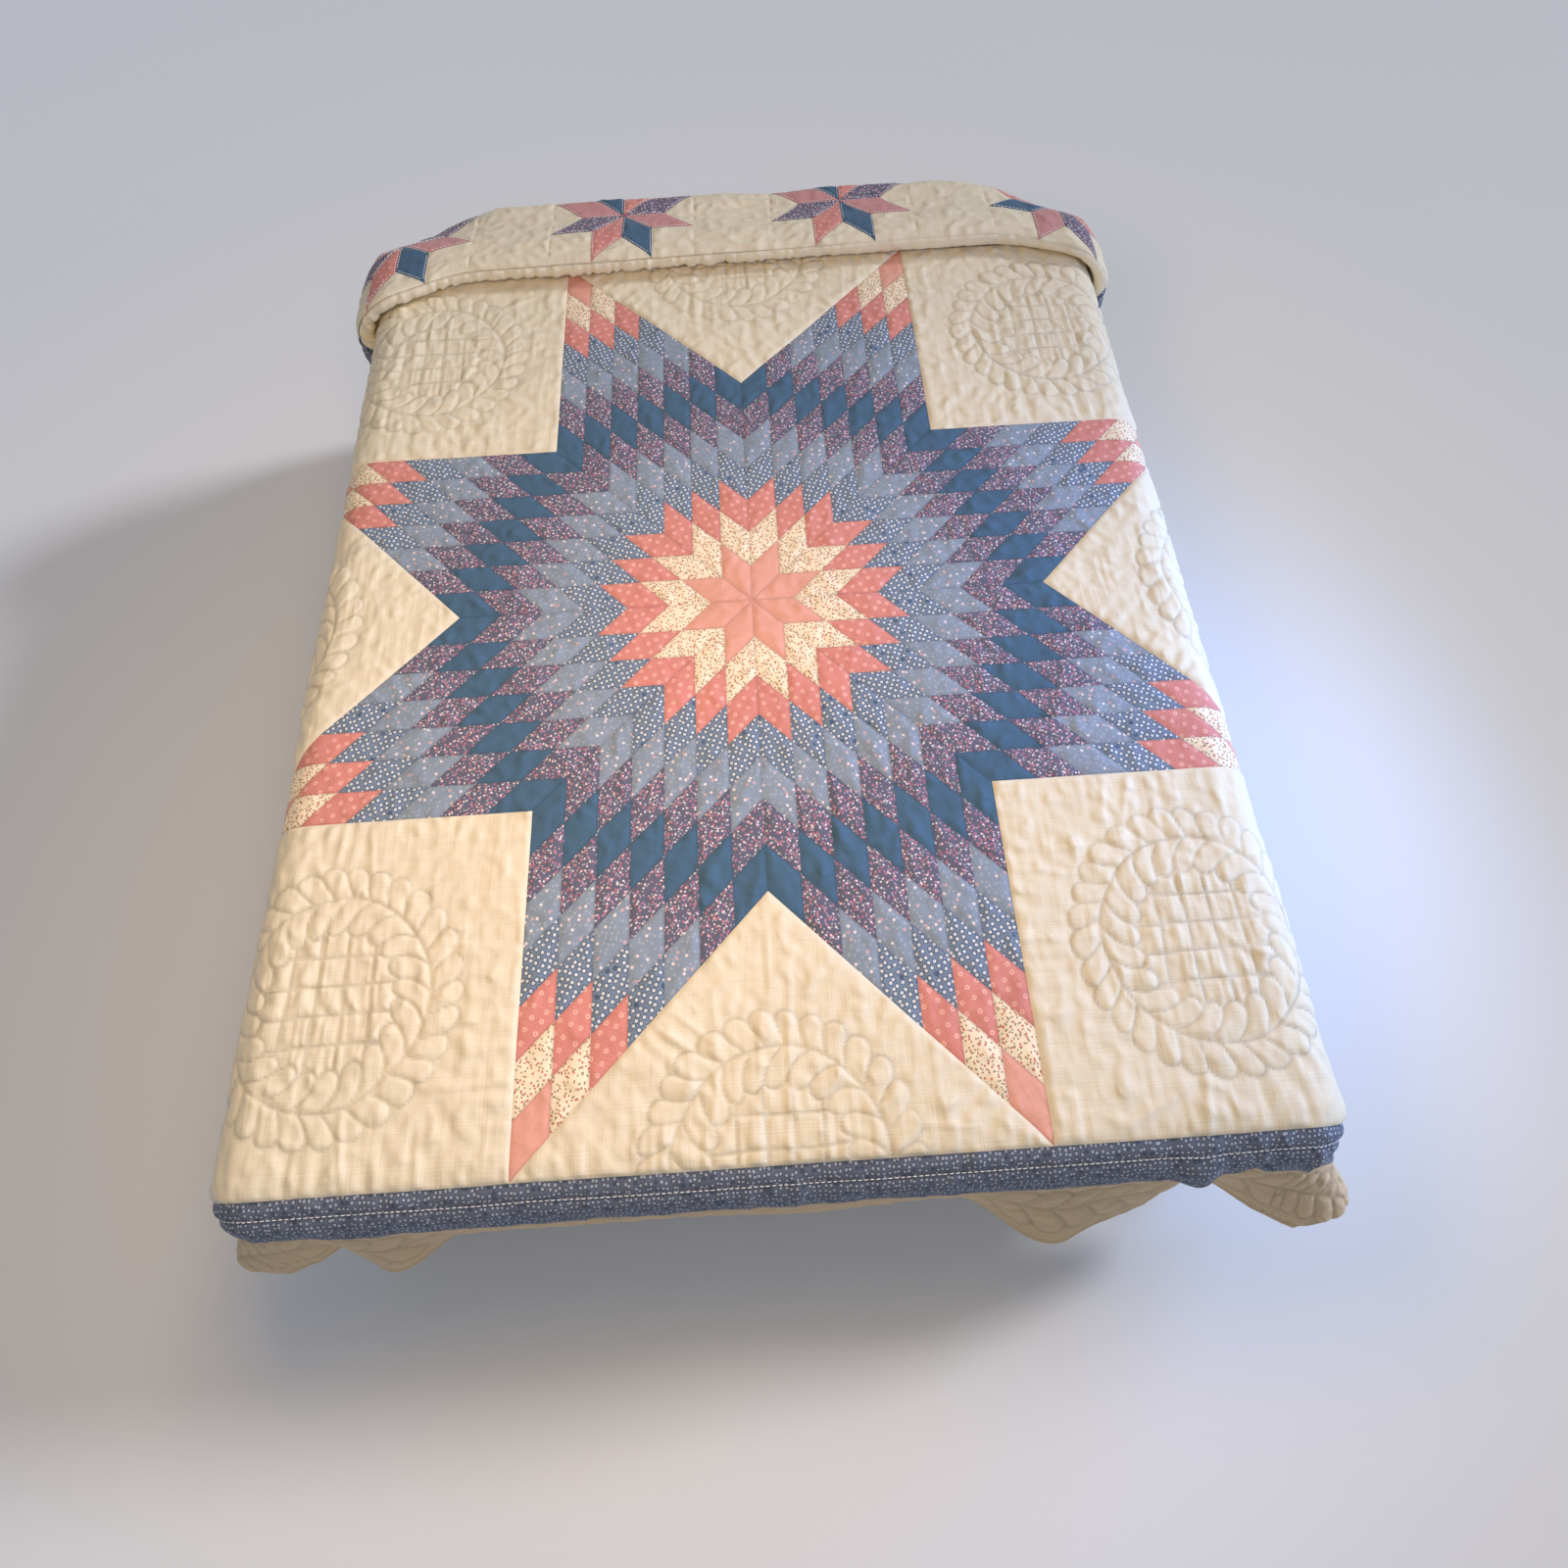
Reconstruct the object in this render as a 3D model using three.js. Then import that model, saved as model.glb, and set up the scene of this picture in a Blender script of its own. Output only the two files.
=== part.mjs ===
// A bed with a star quilt spread over it. Near the head the quilt is folded back and forth once, and its
// border hangs over the four edges of the mattress. Sizes are in mm: +X across the bed, +Y to the head,
// +Z up, with the floor at z = 0 and the middle of the base at x = y = 0.
import * as THREE from "three";

// The quilt, laid flat. u runs across and v to the head, from the middle of the large star.
const DIAMOND = 71.84; // side of one small diamond, cut at 45 degrees from strips 2 in wide
const ROWS = 7; // small diamonds along one side of a star point
const POINT = DIAMOND * ROWS; // side of a star point, and of a corner square
const STAR = POINT * (1 + Math.SQRT1_2); // half the side of the square round the star
const STRIP = 105; // blue strip
const BORDER = 170; // outer border
const HEM = STAR + STRIP + BORDER; // sides and foot
const TUCK = 219; // plain strip between the star and the row of small stars
const SMALL_STAR = 304.8; // the row of small stars is one 12 in block high
const HEAD_HEM = STAR + TUCK + SMALL_STAR + STRIP + BORDER;
const ROUND = 84; // round corners of the quilt
const THICK = 7;
const BIND_WIDE = 12;
const BIND_THICK = 8;
const BIND_GAP = 1.2;
const GAP = 0.5; // between pieces that lie together

// The bed under it. foot and head are the corner radii in plan.
const HEAD_ROUND = 120; // the top layer's bend is rounder in plan at the head corners, by this radius
const BED = { wide: 1500, long: 1900, high: 290, foot: 75, head: 175, edge: 60 };
const BASE = { wide: 1470, long: 1870, high: 330, foot: 30, head: 130, edge: 8 };
const BED_TOP = BASE.high + GAP + BED.high;
const FOOT = 885; // from the star's middle to the foot of the mattress

// The quilt's middle layer bends round the edges of the mattress.
const CLEAR = 10; // between the mattress and the middle of the hanging cloth
const EDGE = 65; // bend radius
const SIDE_BEND = BED.wide / 2 + CLEAR - EDGE;
const FOOT_BEND = -(FOOT + CLEAR - EDGE);
const HEAD_BEND = BED.long - FOOT + CLEAR - EDGE;
const SHIFT_Y = FOOT - BED.long / 2;
const SHIFT_Z = BED_TOP + GAP + THICK / 2;

// The fold near the head: back at TURN_BACK, forward to TURN_FRONT, then to the head on top.
const TURN_BACK = 925;
const TURN_FRONT = 843;
const BACK_ARC = 34; // cloth used by each turn
const FRONT_ARC = 50;
const TOP_LAYER = TURN_BACK * 2 - TURN_FRONT + BACK_ARC + FRONT_ARC; // v where the top layer starts
const RIM_LOW = 12; // the top layer over the head edge of the mattress, at its corners
const RIM_RISE = 24; // and how much higher it is in the middle of the bed,
const RIM_SWELL = 22; // where it also swells past the edge
const RIM_START = 880; // the top layer comes down to these heights from here,
const RIM_LATE = 200; // later where it hangs over the sides,
const RIM_RUN = 110; // over this length
const SIDE_ROLL = { left: 14, right: 10 }; // radius of the fold's front where it goes over the sides
const TILT = 0.024; // the fold's front lies a little aslant
const CURL = 70; // and curls to the foot where it goes over the sides

// Flutes of the hanging cloth: where along the edge, half width, and reach at FLUTE_DEPTH below the bend.
const FLUTE_DEPTH = 250;
const FLARE_END = 235; // below this depth they reach no further out
const FLUTES = {
  foot: [
    { at: -712, half: 75, out: 40 },
    { at: -575, half: 95, out: 58 },
    { at: 20, half: 190, out: 8 },
    { at: 385, half: 135, out: 86 },
    { at: 505, half: 95, out: 42 },
    { at: 722, half: 110, out: 70 },
  ],
  head: [
    { at: -430, half: 210, out: 22 },
    { at: 90, half: 230, out: 16 },
    { at: 520, half: 180, out: 24 },
  ],
  left: [
    { at: -610, half: 170, out: 20 },
    { at: -190, half: 230, out: 14 },
    { at: 330, half: 260, out: 18 },
  ],
  right: [
    { at: -640, half: 190, out: 30 },
    { at: -120, half: 260, out: 15 },
    { at: 380, half: 230, out: 20 },
  ],
};
const EARS = [ // the corners flare by this much more, out to the side and past the end
  { corner: "footleft", aside: 108, past: 30 },
  { corner: "footright", aside: 125, past: 48 },
  { corner: "headleft", aside: 34, past: 40 },
  { corner: "headright", aside: 30, past: 40 },
];

// Quilted wreath: rings of stitching from the middle outwards. high and low are the lifts of the points
// along a ring, taken in turn, so each pair of points is one feather.
const WREATH = [
  { radius: 0, high: 3, low: 3 },
  { radius: 42, high: 0.6, low: 0.6 },
  { radius: 84, high: 4.5, low: 1 },
  { radius: 120, high: 0, low: 0 },
  { radius: 154, high: 5, low: 0.8 },
  { radius: 192, high: 0.5, low: 0.5 },
  { radius: 0, high: 1.5, low: 1.5 },
  { radius: 0, high: 0, low: 0 }, // the seam round the patch
];
const SQUARE_RING = 6; // rings from here on are squares
const PUFF = 4.5; // rise of a small diamond between its seams
const STRIP_PUFF = 2;
const BORDER_PUFF = 2.5;
const SAG = 2.2; // how far a triangle's side may cut under the bent cloth

const clamp = (t, low, high) => Math.min(high, Math.max(low, t));
const smooth = (t) => clamp(t, 0, 1) ** 2 * (3 - 2 * clamp(t, 0, 1));
const bump = (t) => (Math.abs(t) < 1 ? (1 + Math.cos(Math.PI * t)) / 2 : 0);
const mix = (a, b, t) => a + (b - a) * t;

// How full the fold is across the bed: 1 in two humps, 0 where it goes over the sides.
function fullness(u) {
  const dip = 1 - 0.16 * Math.exp(-(((u - 75) / 95) ** 2));
  return smooth((705 - Math.abs(u)) / 230) * dip * (u < 0 ? 0.93 : 1);
}

// The fold's turns at u, and how high its layers stand there.
function turnsAt(u) {
  const shift = TILT * clamp(u, -700, 700) - CURL * smooth((Math.abs(u) - 540) / 260);
  const full = fullness(u);
  const back = TURN_BACK + shift / 2;
  const high = mix(u < 0 ? SIDE_ROLL.left : SIDE_ROLL.right, 16, full);
  return { back, front: TURN_FRONT + shift, low: 10 + full, high, full };
}

// Place along the bed (w) and height above the lowest layer (up) of a point of the flat quilt.
function fold(u, v) {
  const f = turnsAt(u);
  if (v <= f.back) return { w: v, up: 0 };
  const turned = v - f.back;
  if (turned < BACK_ARC) {
    const t = (Math.PI * turned) / BACK_ARC;
    return { w: f.back + f.low * Math.sin(t), up: f.low * (1 - Math.cos(t)) };
  }
  if (v < TOP_LAYER - FRONT_ARC) return { w: f.back - (turned - BACK_ARC), up: 2 * f.low };
  if (v < TOP_LAYER) {
    const t = (Math.PI * (v - TOP_LAYER + FRONT_ARC)) / FRONT_ARC;
    return { w: f.front - f.high * Math.sin(t), up: 2 * f.low + f.high * (1 - Math.cos(t)) };
  }
  const w = f.front + v - TOP_LAYER;
  const start = 2 * (f.low + f.high);
  const swell = RIM_RISE + RIM_SWELL * smooth((w - HEAD_BEND) / 85);
  const rim = RIM_LOW + f.full * swell * (1 - smooth((w - HEAD_BEND - 100) / 300));
  const late = RIM_LATE * smooth((Math.abs(u) - SIDE_BEND) / 300);
  return { w, up: mix(start, rim, smooth((w - RIM_START - late) / RIM_RUN)) };
}

const fluted = (rows, at) => rows.reduce((sum, r) => sum + r.out * bump((at - r.at) / r.half), 0);

// The nearest place on the flat top of the bed, inside the lines where the cloth starts to bend.
function bendAt(u, w, round) {
  const [cu, cw] = [SIDE_BEND - round, HEAD_BEND - round];
  const [a, b] = [Math.abs(u) - cu, w - cw];
  if (a <= 0 || b <= 0) return [clamp(u, -SIDE_BEND, SIDE_BEND), clamp(w, FOOT_BEND, HEAD_BEND)];
  const share = Math.min(1, round / Math.hypot(a, b));
  return [Math.sign(u) * (cu + a * share), cw + b * share];
}

// The quilt's middle layer in the bed's frame: flat on top, bent round the edges, fluted below them.
function drape(u, v) {
  const { w, up } = fold(u, v);
  const side = u < 0 ? "left" : "right";
  const end = w < 0 ? "foot" : "head";
  const [x0, y0] = bendAt(u, w, v > TOP_LAYER - FRONT_ARC ? HEAD_ROUND : 0);
  const over = u - x0;
  const past = w - y0;
  const far = Math.hypot(over, past);
  const p = new THREE.Vector3(x0, y0, up);
  if (far > 0) {
    const radius = EDGE + up;
    const angle = Math.min(far / radius, Math.PI / 2);
    const hang = Math.max(0, far - (radius * Math.PI) / 2);
    const diagonal = ((2 * over * past) / far ** 2) ** 2;
    const ear = EARS.find((e) => e.corner === end + side);
    const deep = (Math.min(hang, FLARE_END) / FLUTE_DEPTH) ** 1.4;
    const outX = deep * (fluted(FLUTES[side], y0) + ear.aside * diagonal) * (over / far);
    const outY = deep * (fluted(FLUTES[end], x0) + ear.past * diagonal) * (past / far);
    const run = (radius * Math.sin(angle)) / far;
    const out = Math.min(Math.hypot(outX, outY), 0.8 * hang);
    p.x += run * over + outX;
    p.y += run * past + outY;
    p.z -= radius * (1 - Math.cos(angle)) + Math.sqrt(hang ** 2 - out ** 2);
  }
  return p.add(new THREE.Vector3(0, SHIFT_Y, SHIFT_Z));
}

function normalAt(u, v) {
  const step = 0.5;
  const du = drape(u + step, v).sub(drape(u - step, v));
  const dv = drape(u, v + step).sub(drape(u, v - step));
  return du.cross(dv).normalize();
}

// A point at a height above the middle layer, along the cloth's normal.
const onCloth = (u, v, height) => drape(u, v).addScaledVector(normalAt(u, v), height);

// Rounds the corners of the flat quilt: square rings near a corner become circular ones.
function rounded(u, v) {
  const middle = (HEAD_HEM - HEM) / 2;
  const cu = HEM - ROUND;
  const cv = (HEAD_HEM + HEM) / 2 - ROUND;
  const a = Math.abs(u) - cu;
  const b = Math.abs(v - middle) - cv;
  if (a <= 0 || b <= 0) return [u, v];
  const ring = Math.max(a, b) / Math.hypot(a, b);
  return [Math.sign(u) * (cu + a * ring), middle + Math.sign(v - middle) * (cv + b * ring)];
}

// A flat layer of triangles. Points that fall together are one point, and every triangle faces up.
function layer() {
  const points = [];
  const faces = [];
  const cells = new Map();
  const at = (u, v, lift = 0) => {
    const [i, j] = [Math.round(u), Math.round(v)];
    for (let a = i - 1; a <= i + 1; a++)
      for (let b = j - 1; b <= j + 1; b++) {
        const k = cells.get(a + "," + b);
        if (k !== undefined && Math.hypot(points[k].u - u, points[k].v - v) < 0.05) return k;
      }
    cells.set(i + "," + j, points.length);
    return points.push({ u, v, lift }) - 1;
  };
  const face = (a, b, c) => {
    const [p, q, r] = [points[a], points[b], points[c]];
    const area = (q.u - p.u) * (r.v - p.v) - (r.u - p.u) * (q.v - p.v);
    faces.push(area > 0 ? [a, b, c] : [a, c, b]);
  };
  // Cells between rows of points, each row a function of u.
  const grid = (columns, rows, lift = () => 0) => {
    const id = rows.map((row, j) => columns.map((u, i) => at(u, row(u), lift(i, j))));
    for (let j = 0; j + 1 < rows.length; j++)
      for (let i = 0; i + 1 < columns.length; i++) {
        face(id[j][i], id[j][i + 1], id[j + 1][i + 1]);
        face(id[j][i], id[j + 1][i + 1], id[j + 1][i]);
      }
  };
  // Joins two lines of points whose spacing differs.
  const zip = (one, two, along) => {
    let [i, j] = [0, 0];
    while (i + 1 < one.length || j + 1 < two.length) {
      const a = i + 1 < one.length ? points[one[i + 1]][along] : Infinity;
      const b = j + 1 < two.length ? points[two[j + 1]][along] : Infinity;
      if (a <= b) face(one[i], one[++i], two[j]);
      else face(one[i], two[j], two[++j]);
    }
  };
  return { points, faces, at, face, grid, zip };
}

const squareness = (ring) => (ring >= SQUARE_RING ? 1 : ring === SQUARE_RING - 1 ? 0.5 : 0);

// One patch of 14 x 14 cells about a middle point, with half sides along a and b. Its inner rings are
// circles, so the quilted wreath follows the cells. half keeps the side of the diagonal where i + j <= 0.
function wreathPatch(sheet, middle, a, b, half) {
  const side = POINT / 2;
  const last = ROWS;
  const place = (i, j) => {
    const ring = Math.max(Math.abs(i), Math.abs(j));
    if (ring === 0) return sheet.at(middle.x, middle.y, WREATH[0].high);
    const along = Math.abs(i) === ring ? j / i : i / j;
    const quarter = (Math.PI / 4) * along;
    const [c, s] = [Math.cos(quarter), Math.sin(quarter)];
    const onEnd = Math.abs(i) === ring;
    const circle = onEnd ? [Math.sign(i) * c, Math.sign(i) * s] : [Math.sign(j) * s, Math.sign(j) * c];
    const square = [(i / last) * side, (j / last) * side];
    const r = WREATH[ring].radius;
    const share = squareness(ring);
    const x = mix(circle[0] * r, square[0], share);
    const y = mix(circle[1] * r, square[1], share);
    const lift = (i + j + ring) % 2 === 0 ? WREATH[ring].high : WREATH[ring].low;
    return sheet.at(middle.x + a.x * x + b.x * y, middle.y + a.y * x + b.y * y, lift);
  };
  for (let i = -last; i < last; i++)
    for (let j = -last; j < last; j++) {
      const q = [place(i, j), place(i + 1, j), place(i + 1, j + 1), place(i, j + 1)];
      const rising = i * j + (i + j) / 2 + 0.25 > 0;
      if (half && i + j + 1 > 0) continue;
      if (rising) {
        sheet.face(q[0], q[1], q[2]);
        sheet.face(q[0], q[2], q[3]);
      } else {
        sheet.face(q[0], q[1], q[3]);
        if (!half || i + j + 1 < 0) sheet.face(q[1], q[2], q[3]);
      }
    }
}

const turnBy = (k) => new THREE.Vector2(Math.cos((k * Math.PI) / 4), Math.sin((k * Math.PI) / 4));

// The square with the large star: eight points of small raised diamonds, four squares and four triangles.
function starSquare(sheet) {
  for (let k = 0; k < 8; k++) {
    const [a, b] = [turnBy(k), turnBy(k + 1)];
    const spot = (i, j, lift) =>
      sheet.at((a.x * i + b.x * j) * DIAMOND, (a.y * i + b.y * j) * DIAMOND, lift);
    for (let i = 0; i < ROWS; i++)
      for (let j = 0; j < ROWS; j++) {
        const middle = spot(i + 0.5, j + 0.5, PUFF);
        const rim = [];
        const corners = [[i, j], [i + 1, j], [i + 1, j + 1], [i, j + 1]];
        corners.forEach(([p, q], n) => {
          const [r, s] = corners[(n + 1) % 4];
          rim.push(spot(p, q, 0));
          // The outer seams carry the points of the patches beside them.
          if ((p === ROWS && r === ROWS) || (q === ROWS && s === ROWS))
            rim.push(spot((p + r) / 2, (q + s) / 2, 0));
        });
        rim.forEach((p, n) => sheet.face(middle, p, rim[(n + 1) % rim.length]));
      }
  }
  for (let k = 0; k < 8; k++) {
    const valley = turnBy(k).multiplyScalar(POINT);
    const [a, b] = [turnBy(k - 1), turnBy(k + 1)];
    const middle = valley.clone().addScaledVector(a, POINT / 2).addScaledVector(b, POINT / 2);
    wreathPatch(sheet, middle, a, b, k % 2 === 0);
  }
}

// Lines of points across the quilt. SEAM is the edge of the star square as its patches divide it.
const mirrored = (list) => [...list.filter((t) => t > 0).map((t) => -t).reverse(), ...list];
const squareLine = Array.from({ length: 2 * ROWS + 1 }, (_, n) => STAR - POINT + (n * POINT) / (2 * ROWS));
const wreathLine = WREATH.slice(0, ROWS).map((w, n) =>
  mix(w.radius, (n / ROWS) * POINT * Math.SQRT1_2, squareness(n)));
const SEAM = mirrored([...wreathLine, ...squareLine]);
const OUTER = [0, 0.5, 1].map((t) => STAR + t * STRIP)
  .concat([0.27, 0.51, 0.755, 1].map((t) => STAR + STRIP + t * BORDER));
const outward = (inner) => {
  const right = OUTER.filter((t) => t > inner.at(-1) + 1);
  return [...right.map((t) => -t).reverse(), ...inner, ...right];
};
const TOP_COLUMNS = mirrored([0, 170, 340, 500, 625, 662, 682, 702, 729, 760, 793, 826, STAR]);
const UNDER_COLUMNS = mirrored([0, 300, 560, 640, 668, 695, 720, 746, 771, 797, STAR]);
const SIDE_ROWS = [-STAR, ...Array.from({ length: 14 }, (_, n) => mix(FOOT_BEND, STAR, n / 13))];
const FOOT_ROWS = [1, 0.74, 0.5, 0.25, 0].map((t) => -STAR - t * STRIP);
const FOOT_BORDER_ROWS = [1, 0.75, 0.5, 0.25].map((t) => -STAR - STRIP - t * BORDER);
const fixed = (v) => () => v;

// Rows of the head part, which follow the fold's turns.
const HEAD_START = STAR + 12;
const headRows = [
  fixed(HEAD_START),
  (u) => mix(HEAD_START, turnsAt(u).back, 0.5),
  ...[0, 0.25, 0.5, 0.75, 1].map((t) => (u) => turnsAt(u).back + t * BACK_ARC),
  ...[0, 0.2, 0.4, 0.6, 0.8, 1].map((t) => fixed(TOP_LAYER - FRONT_ARC + t * FRONT_ARC)),
  ...[40, 78, 110, 140, 170, 202, 238, 280].map((t) => fixed(TOP_LAYER + t)),
  ...[0.2, 0.4, 0.55, 0.76, 1].map((t) => fixed(mix(TOP_LAYER + 280, HEAD_HEM, t))),
];

const inStrip = (t) => t > STAR + 1 && t < STAR + STRIP - 1;
const inBorder = (t) => t > STAR + STRIP + 1 && t < HEM - 1;
const borderLift = (t, n) => (inStrip(t) ? STRIP_PUFF : inBorder(t) ? BORDER_PUFF * (n % 2) : 0);

function quiltTop() {
  const sheet = layer();
  starSquare(sheet);
  const footRows = [...FOOT_BORDER_ROWS, ...FOOT_ROWS];
  const footColumns = outward(SEAM);
  sheet.grid(footColumns, footRows.map(fixed), (i, j) =>
    borderLift(Math.max(Math.abs(footColumns[i]), -footRows[j]), i + j));
  for (const sign of [-1, 1]) {
    const outer = OUTER.slice(1).map((t) => sign * t).sort((a, b) => a - b);
    sheet.grid(outer, SIDE_ROWS.map(fixed), (i, j) => borderLift(Math.abs(outer[i]), i + j));
    const rim = sign * OUTER[1];
    sheet.zip(SEAM.map((v) => sheet.at(sign * STAR, v)), SIDE_ROWS.map((v) => sheet.at(rim, v)), "v");
  }
  const headColumns = outward(TOP_COLUMNS);
  sheet.grid(headColumns, headRows, (i, j) =>
    j === 0 || j === headRows.length - 1 ? 0 : borderLift(Math.abs(headColumns[i]), i + j));
  const first = headColumns.map((u) => sheet.at(u, HEAD_START));
  const last = [...OUTER.slice(1).map((t) => -t).reverse(), ...SEAM, ...OUTER.slice(1)];
  sheet.zip(last.map((u) => sheet.at(u, STAR)), first, "u");
  return sheet;
}

function quiltUnder() {
  const sheet = layer();
  const footColumns = outward(SEAM);
  const footRows = [...FOOT_BORDER_ROWS, ...FOOT_ROWS];
  sheet.grid(footColumns, footRows.map(fixed));
  const columns = outward(UNDER_COLUMNS);
  sheet.grid(columns, SIDE_ROWS.slice(1).map(fixed));
  sheet.zip(footColumns.map((u) => sheet.at(u, -STAR)), columns.map((u) => sheet.at(u, SIDE_ROWS[1])), "u");
  const headColumns = outward(TOP_COLUMNS);
  sheet.grid(headColumns, headRows);
  sheet.zip(columns.map((u) => sheet.at(u, STAR)), headColumns.map((u) => sheet.at(u, HEAD_START)), "u");
  return sheet;
}

// Height of a flat point's place above the middle layer, and of the straight line between two such points.
function sagOf(p, q) {
  const [u, v] = [(p.u + q.u) / 2, (p.v + q.v) / 2];
  const line = onCloth(p.u, p.v, p.lift).add(onCloth(q.u, q.v, q.lift)).multiplyScalar(0.5);
  return (p.lift + q.lift) / 2 - line.sub(drape(u, v)).dot(normalAt(u, v));
}

// Halves the triangle sides in the star square that sag too far where the cloth bends.
function refined(sheet) {
  const { points, faces, at, face } = sheet;
  const within = (p) => Math.max(Math.abs(p.u), Math.abs(p.v)) < STAR - 1;
  const old = faces.splice(0);
  for (const f of old) {
    const halves = f.map((a, n) => {
      const [p, q] = [points[a], points[f[(n + 1) % 3]]];
      const loose = (within(p) || within(q)) && sagOf(p, q) > SAG;
      return loose ? at((p.u + q.u) / 2, (p.v + q.v) / 2, (p.lift + q.lift) / 2) : -1;
    });
    const rim = f.flatMap((a, n) => (halves[n] < 0 ? [a] : [a, halves[n]]));
    const first = halves.findIndex((h) => h >= 0);
    const start = first < 0 ? 0 : rim.indexOf(halves[first]);
    for (let n = 1; n + 1 < rim.length; n++)
      face(rim[start], rim[(start + n) % rim.length], rim[(start + n + 1) % rim.length]);
  }
  return sheet;
}

// The points round a layer's edge, in order.
function rimOf(sheet) {
  const next = new Map();
  const inside = new Set(sheet.faces.flatMap((f) => f.map((a, n) => f[(n + 1) % 3] + ">" + a)));
  for (const f of sheet.faces)
    f.forEach((a, n) => {
      const b = f[(n + 1) % 3];
      if (!inside.has(a + ">" + b)) next.set(a, b);
    });
  const loop = [next.keys().next().value];
  while (next.get(loop.at(-1)) !== loop[0]) loop.push(next.get(loop.at(-1)));
  return loop;
}

function geometryOf(points, faces) {
  const g = new THREE.BufferGeometry();
  g.setAttribute("position", new THREE.Float32BufferAttribute(points.flatMap((p) => [p.x, p.y, p.z]), 3));
  g.setIndex(faces.flat());
  g.computeVertexNormals();
  return g;
}

function quiltGeometry(top, under) {
  const lifted = (sheet, height, sign) =>
    sheet.points.map((p) => onCloth(...rounded(p.u, p.v), height + sign * p.lift));
  const points = [...lifted(top, THICK / 2, 1), ...lifted(under, -THICK / 2, 0)];
  const from = top.points.length;
  const faces = [...top.faces, ...under.faces.map(([a, b, c]) => [from + a, from + c, from + b])];
  const rim = rimOf(top);
  const below = rim.map((a) => from + under.at(top.points[a].u, top.points[a].v));
  rim.forEach((a, n) => {
    const m = (n + 1) % rim.length;
    faces.push([a, below[n], below[m]], [a, below[m], rim[m]]);
  });
  return geometryOf(points, faces);
}

// The binding is one bar round the hem, a hair outside the quilt's edge.
function bindingGeometry(top) {
  const flat = rimOf(top).map((a) => rounded(top.points[a].u, top.points[a].v));
  const hem = flat.map(([u, v]) => drape(u, v));
  const count = hem.length;
  const points = [];
  const faces = [];
  hem.forEach((p, n) => {
    const m = (n + 1) % count;
    const normal = normalAt(...flat[n]);
    const away = hem[m].clone().sub(hem[(n + count - 1) % count]).cross(normal).normalize();
    for (const [far, side] of [[0, 1], [1, 1], [1, -1], [0, -1]])
      points.push(p.clone().addScaledVector(away, BIND_GAP + far * BIND_WIDE)
        .addScaledVector(normal, (side * BIND_THICK) / 2));
    for (let k = 0; k < 4; k++) {
      const [a, b, c, d] = [4 * n + k, 4 * n + ((k + 1) % 4), 4 * m + ((k + 1) % 4), 4 * m + k];
      faces.push([a, b, d], [b, c, d]);
    }
  });
  return geometryOf(points, faces);
}

// A plain block with round corners in plan and round edges.
function cushionGeometry({ wide, long, high, foot, head, edge }, bottom, steps) {
  const [w, l, r, q] = [wide / 2 - edge, long / 2 - edge, foot - edge, head - edge];
  const shape = new THREE.Shape();
  shape.moveTo(-w + r, -l);
  shape.lineTo(w - r, -l).absarc(w - r, -l + r, r, -Math.PI / 2, 0);
  shape.lineTo(w, l - q).absarc(w - q, l - q, q, 0, Math.PI / 2);
  shape.lineTo(-w + q, l).absarc(-w + q, l - q, q, Math.PI / 2, Math.PI);
  shape.lineTo(-w, -l + r).absarc(-w + r, -l + r, r, Math.PI, Math.PI * 1.5);
  return new THREE.ExtrudeGeometry(shape, {
    depth: high - 2 * edge, curveSegments: steps, bevelEnabled: true,
    bevelSize: edge, bevelThickness: edge, bevelSegments: steps,
  }).translate(0, 0, bottom + edge);
}

const bed = new THREE.Group();
const add = (name, geometry, colour) => {
  const mesh = new THREE.Mesh(geometry, new THREE.MeshStandardMaterial({ color: colour, roughness: 0.9 }));
  mesh.name = name;
  bed.add(mesh);
};
const top = refined(quiltTop());
add("base", cushionGeometry(BASE, 0, 2), 0xcfc8bb);
add("mattress", cushionGeometry(BED, BASE.high + GAP, 4), 0xf0ece2);
add("quilt", quiltGeometry(top, quiltUnder()), 0xebddb9);
add("binding", bindingGeometry(top), 0xdcc9a3);

export default bed;
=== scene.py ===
# %% [markdown]
# # A pieced star quilt on a bed
#
# A quilt is a soft sandwich: a patchwork top, thin wadding and a backing, held together by lines of
# running stitch. This one has a large star of small diamonds, plain muslin squares quilted with feather
# wreaths, a row of small stars at the head, a blue strip and a plain border. It lies on a bed, is folded
# back and forth once near the head, and hangs over the edges. The solids already have that shape, so this
# script draws the same cloth finer, patch by patch, and gives each fabric its print.

# %% Load the solids
import math

import bpy
import numpy as np
from mathutils import Matrix, Vector


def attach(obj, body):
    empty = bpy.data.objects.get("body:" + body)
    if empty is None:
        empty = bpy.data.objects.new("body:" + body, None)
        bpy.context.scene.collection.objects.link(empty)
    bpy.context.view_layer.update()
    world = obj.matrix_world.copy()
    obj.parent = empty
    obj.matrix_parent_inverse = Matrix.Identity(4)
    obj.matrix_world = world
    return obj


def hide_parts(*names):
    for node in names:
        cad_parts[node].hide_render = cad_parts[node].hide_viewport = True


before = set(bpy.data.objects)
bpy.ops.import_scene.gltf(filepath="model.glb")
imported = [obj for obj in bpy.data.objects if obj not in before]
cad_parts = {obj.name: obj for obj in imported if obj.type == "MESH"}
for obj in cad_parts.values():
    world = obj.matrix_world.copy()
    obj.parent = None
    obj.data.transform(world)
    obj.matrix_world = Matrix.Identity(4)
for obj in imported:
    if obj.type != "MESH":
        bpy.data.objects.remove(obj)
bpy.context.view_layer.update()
scene = bpy.context.scene

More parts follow.
